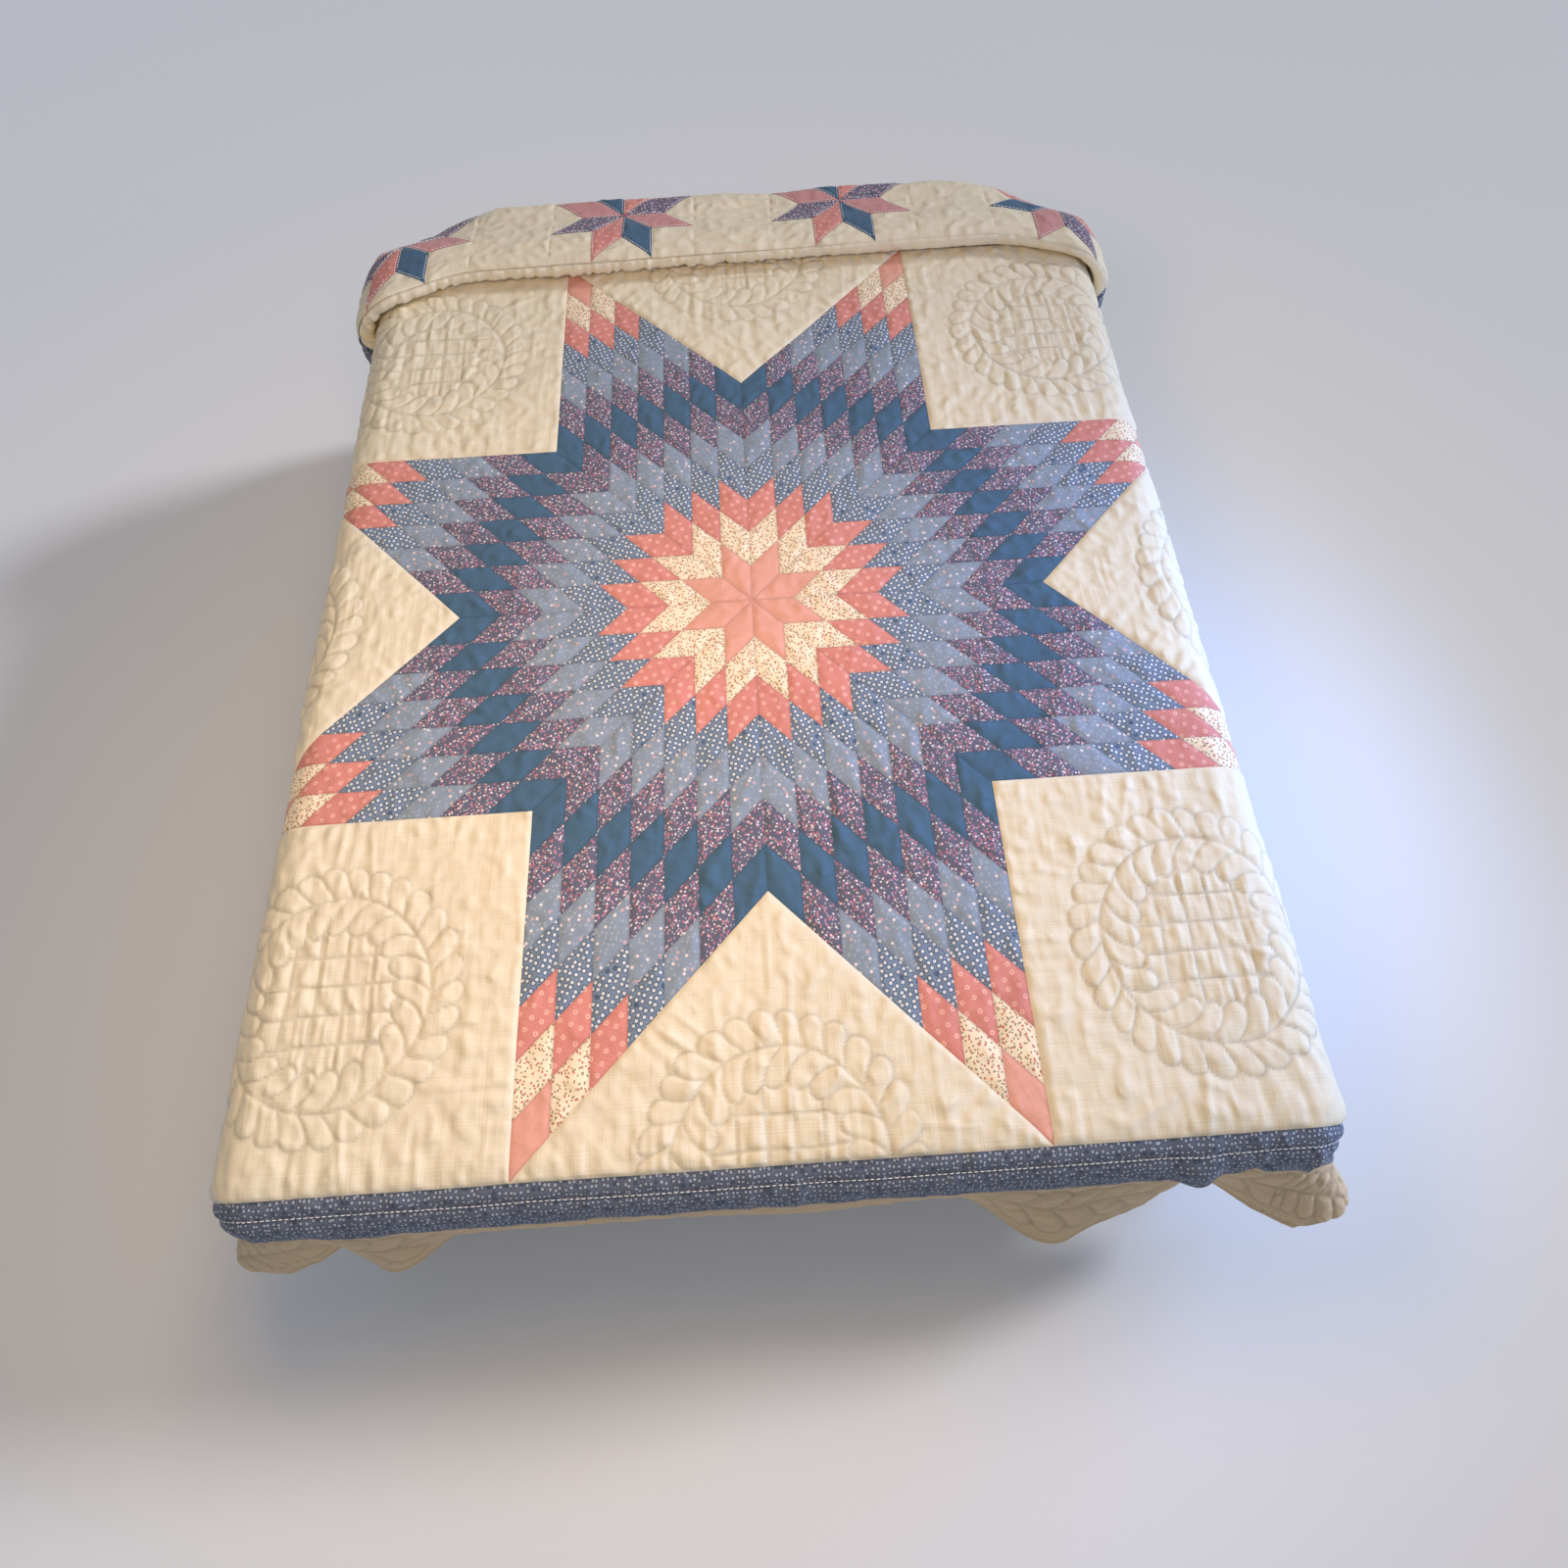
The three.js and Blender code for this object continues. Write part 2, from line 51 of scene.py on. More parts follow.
# %% [markdown]
# The camera comes first, so that every later step can be judged against the same picture. The quilt is
# seen from above the foot of the bed with a wide lens. The picture is a cut from a larger frame, so the
# lens is shifted.

# %% Camera
EYE = Vector((0.0271, -1.0267, 2.197))
PITCH, TURN, ROLL = math.radians(57.94), math.radians(1.65), math.radians(-2.147)
FOCAL_PIXELS, PICTURE_PIXELS = 1090.2, 1600
SENSOR, LENS_SHIFT = 36, -0.125

ahead = Vector((math.sin(TURN) * math.cos(PITCH), math.cos(TURN) * math.cos(PITCH), -math.sin(PITCH)))
level = Vector((math.cos(TURN), -math.sin(TURN), 0))
upward = level.cross(ahead)
right = level * math.cos(ROLL) + upward * math.sin(ROLL)
above = upward * math.cos(ROLL) - level * math.sin(ROLL)
camera = bpy.data.objects.new("camera", bpy.data.cameras.new("camera"))
camera.matrix_world = Matrix.Translation(EYE) @ Matrix((right, above, -ahead)).transposed().to_4x4()
camera.data.sensor_width = SENSOR
camera.data.lens = SENSOR * FOCAL_PIXELS / PICTURE_PIXELS
camera.data.shift_y = LENS_SHIFT
scene.collection.objects.link(camera)
scene.camera = camera
print("lens", round(camera.data.lens, 2), "mm")

# %% [markdown]
# The light is soft, as in a plain studio. A warm lamp hangs over the foot of the bed, so the light falls
# off towards the head. A low light from the right rakes over the quilting, so that its low relief shows,
# and a cool one beside the bed stands for daylight from a window. Its spread is narrow, to keep it off
# the floor.

# %% Lights
def linear(code):
    """An sRGB hex colour as linear red, green, blue and alpha."""
    srgb = np.array([int(code[i : i + 2], 16) for i in (1, 3, 5)]) / 255
    low = srgb / 12.92
    return (*np.where(srgb <= 0.04045, low, ((srgb + 0.055) / 1.055) ** 2.4), 1.0)


def area_light(name, place, aim, size, watts, colour, spread=180):
    """A square soft light of a given size in metres that looks from a place at a point, over a spread
    in degrees."""
    lamp = bpy.data.lights.new(name, "AREA")
    lamp.shape, lamp.size, lamp.energy, lamp.color = "SQUARE", size, watts, linear(colour)[:3]
    lamp.spread = math.radians(spread)
    made = bpy.data.objects.new(name, lamp)
    made.location = place
    made.rotation_euler = (Vector(aim) - Vector(place)).to_track_quat("-Z", "Y").to_euler()
    scene.collection.objects.link(made)


area_light("overhead", (-0.22, -0.44, 1.9), (-0.15, -0.4, 0.6), 0.6, 12.5, "#FFD59E")
area_light("window", (1.8, -0.25, 1.1), (0.6, -0.3, 0.58), 0.9, 9, "#86B2FF", spread=100)
raking = bpy.data.objects.new("raking", bpy.data.lights.new("raking", "SUN"))
raking.data.energy, raking.data.angle, raking.data.color = 1.6, math.radians(9), linear("#F6F5FF")[:3]
raking.rotation_euler = Vector((-0.85, -0.22, -0.46)).to_track_quat("-Z", "Y").to_euler()
scene.collection.objects.link(raking)

world = bpy.data.worlds.new("soft white")
world.use_nodes = True
world.node_tree.nodes["Background"].inputs["Color"].default_value = linear("#E8EFFF")
world.node_tree.nodes["Background"].inputs["Strength"].default_value = 0.34
scene.world = world
scene.view_settings.view_transform = "Standard"
print("three lights and a pale sky")

# %% [markdown]
# The floor is one large square of pale paint, matte so that it mirrors nothing. It belongs to the room
# and not to the bed, so it is marked as stage.

# %% Floor
FLOOR_HALF = 14.0


def new_material(name):
    """A new material with nodes, and its tree and main shader."""
    material = bpy.data.materials.new(name)
    material.use_nodes = True
    return material, material.node_tree, material.node_tree.nodes["Principled BSDF"]


floor_corners = [(x * FLOOR_HALF, y * FLOOR_HALF, 0) for x, y in ((-1, -1), (1, -1), (1, 1), (-1, 1))]
floor_mesh = bpy.data.meshes.new("floor")
floor_mesh.from_pydata(floor_corners, [], [(0, 1, 2, 3)])
floor = bpy.data.objects.new("floor", floor_mesh)
scene.collection.objects.link(floor)
paint, _, paint_shader = new_material("pale floor paint")
paint_shader.inputs["Base Color"].default_value = linear("#FAFAF8")
paint_shader.inputs["Roughness"].default_value = 0.8
floor_mesh.materials.append(paint)
print("floor", 2 * FLOOR_HALF, "m across")

# %% [markdown]
# All sizes are in millimetres on the flat quilt, from the middle of the large star: u runs across the bed
# and v to its head. The star's eight points are diamonds with an angle of 45 degrees, so everything follows
# from the side of one small diamond. The square round the star is wider than the side of one point by the
# factor 2 + the square root of 2.

# %% Sizes of the flat quilt
DIAMOND = 71.84
ROWS = 7
POINT = DIAMOND * ROWS
STAR = POINT * (1 + math.sqrt(0.5))
STRIP = 105.0
BORDER = 170.0
HEM = STAR + STRIP + BORDER
TUCK = 219.0
SMALL_STAR = 304.8
ROW_TOP = STAR + TUCK + SMALL_STAR
HEAD_HEM = ROW_TOP + STRIP + BORDER
ROUND = 84.0
THICK = 7.0
GAP = 0.5
MM = 0.001

BED_WIDE, BED_LONG, BED_HIGH, BED_FOOT, BED_HEAD, BED_EDGE = 1500.0, 1900.0, 290.0, 75.0, 175.0, 60.0
BASE_WIDE, BASE_LONG, BASE_HIGH, BASE_FOOT, BASE_HEAD, BASE_EDGE = 1470.0, 1870.0, 330.0, 30.0, 130.0, 8.0
BED_TOP = BASE_HIGH + GAP + BED_HIGH
FOOT = 885.0
CLEAR, EDGE, HEAD_ROUND = 10.0, 65.0, 120.0
SIDE_BEND = BED_WIDE / 2 + CLEAR - EDGE
FOOT_BEND = -(FOOT + CLEAR - EDGE)
HEAD_BEND = BED_LONG - FOOT + CLEAR - EDGE
SHIFT_Y = FOOT - BED_LONG / 2
SHIFT_Z = BED_TOP + GAP + THICK / 2
print("flat quilt", round(2 * HEM), "x", round(HEM + HEAD_HEM), "mm")

# %% [markdown]
# The fold near the head has three layers: the cloth runs towards the head, turns back, turns again and
# goes on to the head on top. Written as a function of the flat place, it gives each point its way along
# the bed and its height, so one formula serves every patch. A fold could also be simulated, but then its
# place would drift.

# %% The fold
TURN_BACK, TURN_FRONT, BACK_ARC, FRONT_ARC = 925.0, 843.0, 34.0, 50.0
TOP_LAYER = 2 * TURN_BACK - TURN_FRONT + BACK_ARC + FRONT_ARC
RIM_LOW, RIM_RISE, RIM_SWELL = 12.0, 24.0, 22.0
RIM_START, RIM_LATE, RIM_RUN = 880.0, 200.0, 110.0
RIM_FALL, RIM_FADE, SWELL_RUN = 100.0, 300.0, 85.0
SIDE_ROLL = {"left": 14.0, "right": 10.0}
LOW_ROLL, HIGH_ROLL = 10.0, 16.0
TILT, TILT_END = 0.024, 700.0
CURL, CURL_START, CURL_RUN = 70.0, 540.0, 260.0
FULL_HALF, FULL_FADE, LEFT_FULL, LEFT_FADE = 705.0, 230.0, 0.93, 170.0
DIP, DIP_AT, DIP_HALF = 0.16, 75.0, 95.0


def smooth(t):
    """An even step from 0 to 1: 3 t squared less 2 t cubed, held at its ends."""
    t = np.clip(t, 0, 1)
    return t * t * (3 - 2 * t)


def bump(t):
    """A soft hill of height 1 between -1 and 1: half of one and the cosine of pi t."""
    return np.where(np.abs(t) < 1, (1 + np.cos(np.pi * np.clip(t, -1, 1))) / 2, 0.0)


def mix(a, b, t):
    """From a to b by the share t."""
    return a + (b - a) * t


def fold(u, v):
    """Way along the bed and height above the lowest layer. Each turn is half a circle, and the layers
    between lie flat. The fold is full in the middle of the bed, with two humps, and thin where it goes
    over the sides."""
    dip = 1 - DIP * np.exp(-(((u - DIP_AT) / DIP_HALF) ** 2))
    full = smooth((FULL_HALF - np.abs(u)) / FULL_FADE) * dip * mix(LEFT_FULL, 1.0, smooth(u / LEFT_FADE + 1))
    curled = CURL * smooth((np.abs(u) - CURL_START) / CURL_RUN)
    shift = TILT * np.clip(u, -TILT_END, TILT_END) - curled
    back, front = TURN_BACK + shift / 2, TURN_FRONT + shift
    low = LOW_ROLL + full
    high = mix(np.where(u < 0, SIDE_ROLL["left"], SIDE_ROLL["right"]), HIGH_ROLL, full)
    turned = v - back
    first = np.pi * np.clip(turned / BACK_ARC, 0, 1)
    second = np.pi * np.clip((v - TOP_LAYER + FRONT_ARC) / FRONT_ARC, 0, 1)
    stage = [v <= back, turned < BACK_ARC, v < TOP_LAYER - FRONT_ARC, v < TOP_LAYER]
    ways = [v, back + low * np.sin(first), back - turned + BACK_ARC, front - high * np.sin(second)]
    w = np.select(stage, ways, front + v - TOP_LAYER)
    swell = RIM_RISE + RIM_SWELL * smooth((w - HEAD_BEND) / SWELL_RUN)
    rim = RIM_LOW + full * swell * (1 - smooth((w - HEAD_BEND - RIM_FALL) / RIM_FADE))
    late = RIM_LATE * smooth((np.abs(u) - SIDE_BEND) / RIM_FADE)
    last = mix(2 * (low + high), rim, smooth((w - RIM_START - late) / RIM_RUN))
    heights = [0 * v, low * (1 - np.cos(first)), 2 * low, 2 * low + high * (1 - np.cos(second))]
    return w, np.select(stage, heights, last)


# %% [markdown]
# Past the edge of the mattress the cloth bends round an arc and hangs. Hanging cloth makes flutes, soft
# waves that grow with depth down to FLARE_END, and its corners flare into ears. The Cloth simulation
# makes flutes too, but not where they are wanted, so a short table gives each flute its place, half width
# and reach.

# %% The drape
FLUTE_DEPTH, FLARE_END, FLARE_POWER = 250.0, 235.0, 1.4
MOST_OUT = 0.8  # the largest share of its hang that the cloth is pushed out
FLUTES = {  # where along the edge, half width, reach at FLUTE_DEPTH below the bend
    "foot": [(-712, 75, 40), (-575, 95, 58), (20, 190, 8), (385, 135, 86), (505, 95, 42), (722, 110, 70)],
    "head": [(-430, 210, 22), (90, 230, 16), (520, 180, 24)],
    "left": [(-610, 170, 20), (-190, 230, 14), (330, 260, 18)],
    "right": [(-640, 190, 30), (-120, 260, 15), (380, 230, 20)],
}
EARS = {  # extra flare of each corner, to the side and past the end
    "footleft": (108, 30),
    "footright": (125, 48),
    "headleft": (34, 40),
    "headright": (30, 40),
}


def fluted(rows, at):
    """The sum of the soft hills in a table of flutes, at places along an edge."""
    return sum(out * bump((at - middle) / half) for middle, half, out in rows)


def drape(u, v):
    """The middle layer of the quilt on the bed. From the nearest place on the flat top the cloth runs
    on round an arc of a quarter circle and then hangs, pushed out by its flutes and shortened so that
    its length holds."""
    w, up = fold(u, v)
    corner = np.where(v > TOP_LAYER - FRONT_ARC, HEAD_ROUND, 0.0)
    cu, cw = SIDE_BEND - corner, HEAD_BEND - corner
    a, b = np.abs(u) - cu, w - cw
    both = (a > 0) & (b > 0)
    share = np.minimum(1, corner / np.where(both, np.hypot(a, b), 1))
    x0 = np.where(both, np.sign(u) * (cu + a * share), np.clip(u, -SIDE_BEND, SIDE_BEND))
    y0 = np.where(both, cw + b * share, np.clip(w, FOOT_BEND, HEAD_BEND))
    over, past = u - x0, w - y0
    far = np.hypot(over, past)
    safe = np.where(far > 0, far, 1)
    radius = EDGE + up
    angle = np.minimum(far / radius, np.pi / 2)
    hang = np.maximum(0, far - radius * np.pi / 2)
    diagonal = (2 * over * past / safe**2) ** 2
    left, foot = u < 0, w < 0
    sides = np.where(left, fluted(FLUTES["left"], y0), fluted(FLUTES["right"], y0))
    ends = np.where(foot, fluted(FLUTES["foot"], x0), fluted(FLUTES["head"], x0))
    ear = np.where(foot, 0, 2) + np.where(left, 0, 1)
    aside, beyond = np.moveaxis(np.array(list(EARS.values()), float)[ear], -1, 0)
    deep = (np.minimum(hang, FLARE_END) / FLUTE_DEPTH) ** FLARE_POWER
    out_x = deep * (sides + aside * diagonal) * over / safe
    out_y = deep * (ends + beyond * diagonal) * past / safe
    run = radius * np.sin(angle) / safe
    out = np.minimum(np.hypot(out_x, out_y), MOST_OUT * hang)
    drop = radius * (1 - np.cos(angle)) + np.sqrt(hang**2 - out**2)
    x, y = x0 + run * over + out_x, y0 + run * past + out_y
    return np.stack([x, y + SHIFT_Y, up - drop + SHIFT_Z], -1)


def cloth_normal(u, v, step=0.5):
    """The cloth's unit normal: the cross product of its two tangents, each a difference over 1 mm."""
    n = np.cross(drape(u + step, v) - drape(u - step, v), drape(u, v + step) - drape(u, v - step))
    return n / np.linalg.norm(n, axis=-1, keepdims=True)


def rounded(u, v):
    """Rounds the quilt's four corners: near a corner, square rings become circles of the same size."""
    middle = (HEAD_HEM - HEM) / 2
    cu, cv = HEM - ROUND, (HEAD_HEM + HEM) / 2 - ROUND
    a, b = np.abs(u) - cu, np.abs(v - middle) - cv
    both = (a > 0) & (b > 0)
    ring = np.where(both, np.maximum(a, b) / np.where(both, np.hypot(a, b), 1), 1)
    return (
        np.where(both, np.sign(u) * (cu + a * ring), u),
        np.where(both, middle + np.sign(v - middle) * (cv + b * ring), v),
    )


foot_corner = drape(*rounded(np.array([HEM]), np.array([-HEM])))[0]
print("right foot corner of the hem", round(foot_corner[2]), "mm above the floor")

# %% [markdown]
# Washed cotton never lies quite flat. A smooth random field gives the small puckers between stitches, and
# a few creases are placed one by one. They could be sculpted or displaced on each mesh, but as functions of
# the flat place they agree along every seam. They are added to the height of the cloth, the same for the
# top and the backing.

# %% Puckers and creases
CELLS, GRAIN_START = 128, (61.3, 47.7)


def grain(u, v, along, across, seed):
    """Smooth noise from -1 to 1: random values on a grid of cells along x across mm, blended with even
    steps."""
    table = np.random.default_rng(seed).uniform(-1, 1, (CELLS, CELLS))
    x, y = u / along + GRAIN_START[0], v / across + GRAIN_START[1]
    i, j = np.floor(x).astype(int), np.floor(y).astype(int)
    s, t = smooth(x - i), smooth(y - j)
    i0, i1, j0, j1 = i % CELLS, (i + 1) % CELLS, j % CELLS, (j + 1) % CELLS
    near = mix(table[i0, j0], table[i1, j0], s)
    far = mix(table[i0, j1], table[i1, j1], s)
    return mix(near, far, t)


def wrinkles(u, v, along, across, seed):
    """Narrow ridges: one less the size of smooth noise, cubed, so it peaks in lines where the noise is
    zero."""
    return (1 - np.abs(grain(u, v, along, across, seed))) ** 3 - 0.3


CREASES = [  # from (u, v) to (u, v), half width, height
    (-18, -640, -26, -890, 9, 2.6),
    (26, -580, 10, -890, 9, 2.4),
    (-6, -520, -6, -700, 8, 2.0),
    (-486, -664, -360, -650, 9, 2.4),
    (-500, -740, -365, -740, 9, 2.2),
    (-490, -546, -390, -558, 8, 1.8),
    (-586, -750, -566, -880, 8, 3.2),
    (-640, -790, -638, -880, 9, 2.4),
    (-638, -350, -646, -450, 9, 2.4),
    (-600, -360, -586, -450, 8, 2.2),
    (400, -474, 500, -464, 8, 2.0),
    (362, -496, 470, -510, 8, 2.0),
    (420, -856, 570, -790, 11, 2.8),
    (526, -356, 508, -440, 9, 2.2),
    (568, -356, 536, -440, 9, 2.2),
    (684, -364, 700, -446, 9, 2.2),
    (570, -780, 556, -880, 9, 2.8),
    (594, -780, 604, -870, 8, 2.4),
    (-180, -672, -96, -728, 9, 2.4),
    (-150, -656, -74, -716, 8, 2.0),
    (180, -800, 236, -774, 8, 1.8),
    (180, -822, 270, -834, 8, 2.0),
    (-660, 470, -440, 412, 12, 2.0),
    (-570, 708, -380, 794, 10, 1.8),
    (508, 760, 530, 380, 12, 1.8),
    (-640, 180, -690, -20, 12, 2.0),
    (668, 120, 734, -120, 12, 2.0),
    (540, -872, 568, -1004, 44, 14.0),
    (652, -880, 622, -1000, 26, -7.0),
    (705, -876, 716, -975, 18, 6.0),
    (440, -905, 520, -945, 12, 3.0),
    (20, -880, 12, -960, 14, 4.0),
    (-44, -880, -52, -960, 12, 3.0),
    (-640, -890, -560, -950, 14, 3.0),
]


def sway(u, v):
    """Slow rises of the whole sandwich: wide noise, and creases that fade towards their ends."""
    height = 1.6 * grain(u, v, 210, 180, 3) + 0.9 * grain(u, v, 75, 90, 4)
    for u0, v0, u1, v1, half, high in CREASES:
        du, dv = u1 - u0, v1 - v0
        length = math.hypot(du, dv)
        along = ((u - u0) * du + (v - v0) * dv) / length
        aside = ((v - v0) * du - (u - u0) * dv) / length
        height = height + high * bump(aside / half) * bump((along - length / 2) / (0.6 * length))
    return height


def on_cloth(u, v, height):
    """A place at a height above the middle layer, along the cloth's normal, in metres."""
    u, v = rounded(u, v)
    lift = (height + sway(u, v))[..., None]
    return (drape(u, v) + cloth_normal(u, v) * lift) * MM


print(len(CREASES), "creases")

# %% [markdown]
# Every patch is a grid of two parameters on a parallelogram, or on half of one for a triangle. The
# patches of one piece are put into one mesh, and points that fall together on a seam are made one point.
# Each corner of a face also keeps where it lies in its own print, because neighbouring patches are cut
# from the cloth at other angles.

# %% Patches to meshes
MERGE_STEPS = 20  # points that agree to a twentieth of a millimetre are one point
ROW_KEY = 1_000_003  # more than the number of steps from foot to head


def pairs(a, b):
    """Every pair of a value of a and one of b, as two flat arrays, with b running fastest."""
    return (g.ravel() for g in np.meshgrid(a, b, indexing="ij"))


def patch(origin, a, b, na, nb, half=False):
    """A grid on the parallelogram origin + s a + t b, with s and t from 0 to 1. half keeps only the part
    where s and t add up to no more than 1."""
    s, t = pairs(np.linspace(0, 1, na + 1), np.linspace(0, 1, nb + 1))
    i, j = pairs(np.arange(na), np.arange(nb))
    corner = i * (nb + 1) + j
    low = np.stack([corner, corner + nb + 1, corner + 1], -1)
    high = np.stack([corner + nb + 1, corner + nb + 2, corner + 1], -1)
    if half:
        low, high = low[i + j < na], high[i + j < na - 1]
    faces = np.concatenate([low, high])
    if a[0] * b[1] - a[1] * b[0] < 0:
        faces = faces[:, ::-1]
    u = origin[0] + s * a[0] + t * b[0]
    v = origin[1] + s * a[1] + t * b[1]
    made = {"s": s, "t": t, "u": u, "v": v, "faces": faces, "print": (u, v), "cloth": 0}
    return {**made, "lift": 0 * u, "stitch_shade": 0 * u}


def link_piece(name, mesh, materials):
    """Makes an object of a mesh, smooth, with its materials, and lets it ride on the bed."""
    for material in materials:
        mesh.materials.append(material)
    mesh.shade_smooth()
    mesh.validate()
    made = bpy.data.objects.new(name, mesh)
    scene.collection.objects.link(made)
    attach(made, "root")
    return made


def cloth_piece(name, patches, materials, span, side=1):
    """One mesh of many patches. span is the half width and the ends in v of the rectangle that is kept
    as the 0 to 1 square of the finish. side is 1 for the top of the sandwich, and -1 for its
    underside, with faces turned."""
    joined = {key: np.concatenate([p[key] for p in patches]) for key in ("u", "v", "lift", "stitch_shade")}
    start = np.cumsum([0] + [len(p["u"]) for p in patches])
    corners = np.concatenate([p["faces"] + n for p, n in zip(patches, start)])
    row, column = (np.round(joined[axis] * MERGE_STEPS).astype(np.int64) for axis in ("u", "v"))
    _, first, merged = np.unique(row * ROW_KEY + column, return_index=True, return_inverse=True)
    points = on_cloth(joined["u"][first], joined["v"][first], side * THICK / 2 + joined["lift"][first])
    if side < 0:
        corners = corners[:, ::-1]
    faces = merged.ravel()[corners]
    whole = (faces[:, 0] != faces[:, 1]) & (faces[:, 1] != faces[:, 2]) & (faces[:, 2] != faces[:, 0])
    cloths = np.concatenate([np.full(len(p["faces"]), p["cloth"]) for p in patches])[whole]
    corners, faces = corners[whole], faces[whole]
    mesh = bpy.data.meshes.new(name)
    mesh.from_pydata(points.tolist(), [], faces.tolist())
    mesh.polygons.foreach_set("material_index", cloths.astype(np.int32))
    # painted shade: how much each point's colour is darkened in the groove of a stitch line or seam
    stitch_shade = mesh.attributes.new("stitch_shade", "FLOAT", "POINT")
    stitch_shade.data.foreach_set("value", joined["stitch_shade"][first].astype(np.float32))
    prints = np.stack([np.concatenate([p["print"][k] for p in patches]) for k in (0, 1)], -1) * MM
    mesh.uv_layers.new(name="Print").uv.foreach_set("vector", prints[corners].astype(np.float32).ravel())
    half, low, high = span
    kept = np.stack([(joined["u"] / half + 1) / 2, (joined["v"] - low) / (high - low)], -1)
    mesh.uv_layers.new(name="OFBake").uv.foreach_set("vector", kept[corners].astype(np.float32).ravel())
    print(name, len(faces), "triangles")
    return link_piece(name, mesh, materials)


# %% [markdown]
# Cotton calico is plain woven, matte and a little faded. A picture of each cloth would be simple, but
# nodes stay sharp at any distance and are worked out from real spacings: Voronoi cells of one pitch, each
# with a dot or floret in it, as the small prints have. The single threads, 0.4 mm apart, are too fine to
# show, so slubs, the thicker stretches of thread, are drawn a few millimetres wide instead.

# %% Cotton
THREAD_WIDE, THREAD_LONG, WORN, CRUMPLE = 2.6, 70.0, 130.0, 34.0
PRINT_START = (31.7, 17.3)  # in pitches, so that two prints of one pitch share their cells


def node(tree, kind, inputs=(), **settings):
    """Adds one shader node and gives its outputs. Settings are its properties, and inputs map its
    sockets to values or to other sockets."""
    made = tree.nodes.new("ShaderNode" + kind)
    for key, value in settings.items():
        setattr(made, key, value)
    for key, value in dict(inputs).items():
        if isinstance(value, bpy.types.NodeSocket):
            tree.links.new(value, made.inputs[key])
        else:
            made.inputs[key].default_value = value
    return made.outputs


def printed(tree, flat, ground, row):
    """One row of a print over a ground colour: a soft dot in the middle of each cell, less its hole,
    in a share of the cells."""
    ink, pitch, size, jitter, share, hole = row
    start = (PRINT_START[0] * pitch, PRINT_START[1] * pitch, 0)
    moved = node(tree, "VectorMath", {0: flat, 1: start}, operation="ADD")[0]
    spacing = {"Vector": moved, "Scale": 1 / pitch, "Randomness": jitter}
    cells = node(tree, "TexVoronoi", spacing, voronoi_dimensions="2D")
    reach = {"Value": cells["Distance"], "From Min": size * 0.72, "From Max": size * 1.1}
    dot = node(tree, "MapRange", {**reach, "To Min": 1.0, "To Max": 0.0})[0]
    if hole > 0:
        inner = {"Value": cells["Distance"], "From Min": hole * 0.6, "From Max": hole * 1.2}
        ring = node(tree, "MapRange", inner)[0]
        dot = node(tree, "Math", {0: dot, 1: ring}, operation="MULTIPLY")[0]
    chance = node(tree, "SeparateColor", {"Color": cells["Color"]})["Green"]
    drawn = node(tree, "Math", {0: chance, 1: share}, operation="LESS_THAN")[0]
    dot = node(tree, "Math", {0: dot, 1: drawn}, operation="MULTIPLY")[0]
    return node(tree, "Mix", {"Factor": dot, "A": ground, "B": linear(ink)}, data_type="RGBA")["Result"]


def cotton(name, colour, prints=(), fade=0.10, crumple=1.0):
    """A woven cotton. prints are rows of a print: colour, pitch in mm, dot radius in pitches, jitter,
    share of cells that have it, and hole radius in pitches, each drawn over the ones before it."""
    material, tree, shader = new_material(name)
    uv = node(tree, "UVMap", uv_map="Print")["UV"]
    flat = node(tree, "VectorMath", {0: uv, "Scale": 1 / MM}, operation="SCALE")[0]
    shown = linear(colour)
    for row in prints:
        shown = printed(tree, flat, shown, row)
    slubs = []
    for along in ((THREAD_LONG, THREAD_WIDE, 1), (THREAD_WIDE, THREAD_LONG, 1)):
        drawn_out = node(tree, "VectorMath", {0: flat, 1: along}, operation="DIVIDE")[0]
        slubs.append(node(tree, "TexNoise", {"Vector": drawn_out, "Scale": 1.0, "Detail": 2.0})[0])
    threads = node(tree, "Math", {0: slubs[0], 1: slubs[1]}, operation="ADD")[0]
    worn = node(tree, "TexNoise", {"Vector": flat, "Scale": 1 / WORN, "Detail": 3.0})[0]
    tone = node(tree, "Math", {0: threads, 1: worn}, operation="ADD")[0]
    limits = {"Value": tone, "From Min": 1.0, "From Max": 2.0, "To Min": 1 - fade, "To Max": 1 + fade}
    tone_and_groove_shade = node(tree, "MapRange", limits)[0]
    # painted shade: the colour is up to 30 percent darker in the grooves along stitch lines and seams
    groove_share = node(tree, "Attribute", attribute_name="stitch_shade")["Fac"]
    groove_darkening = node(tree, "MapRange", {"Value": groove_share, "To Min": 1.0, "To Max": 0.7})[0]
    tone_and_groove_shade = node(tree, "Math", {0: tone_and_groove_shade, 1: groove_darkening}, operation="MULTIPLY")[0]
    shown = shown if prints else shown[:3]
    tinted = node(tree, "VectorMath", {0: shown, "Scale": tone_and_groove_shade}, operation="SCALE")[0]
    tree.links.new(tinted, shader.inputs["Base Color"])
    soft = node(tree, "Bump", {"Height": threads, "Strength": 0.35, "Distance": 0.0012})[0]
    ridged = {"Vector": flat, "Scale": 1 / CRUMPLE, "Detail": 2.5, "Roughness": 0.55}
    folds = node(tree, "TexNoise", ridged, noise_dimensions="2D", noise_type="RIDGED_MULTIFRACTAL")[0]
    creased = {"Height": folds, "Strength": 1.0, "Distance": 0.004 * crumple, "Normal": soft}
    tree.links.new(node(tree, "Bump", creased)[0], shader.inputs["Normal"])
    # a rough surface, a weak gloss and the faint sheen of its fuzz
    finish = {"Roughness": 0.93, "Specular IOR Level": 0.25, "Sheen Weight": 0.12, "Sheen Roughness": 0.5}
    for key, value in finish.items():
        shader.inputs[key].default_value = value
    return material
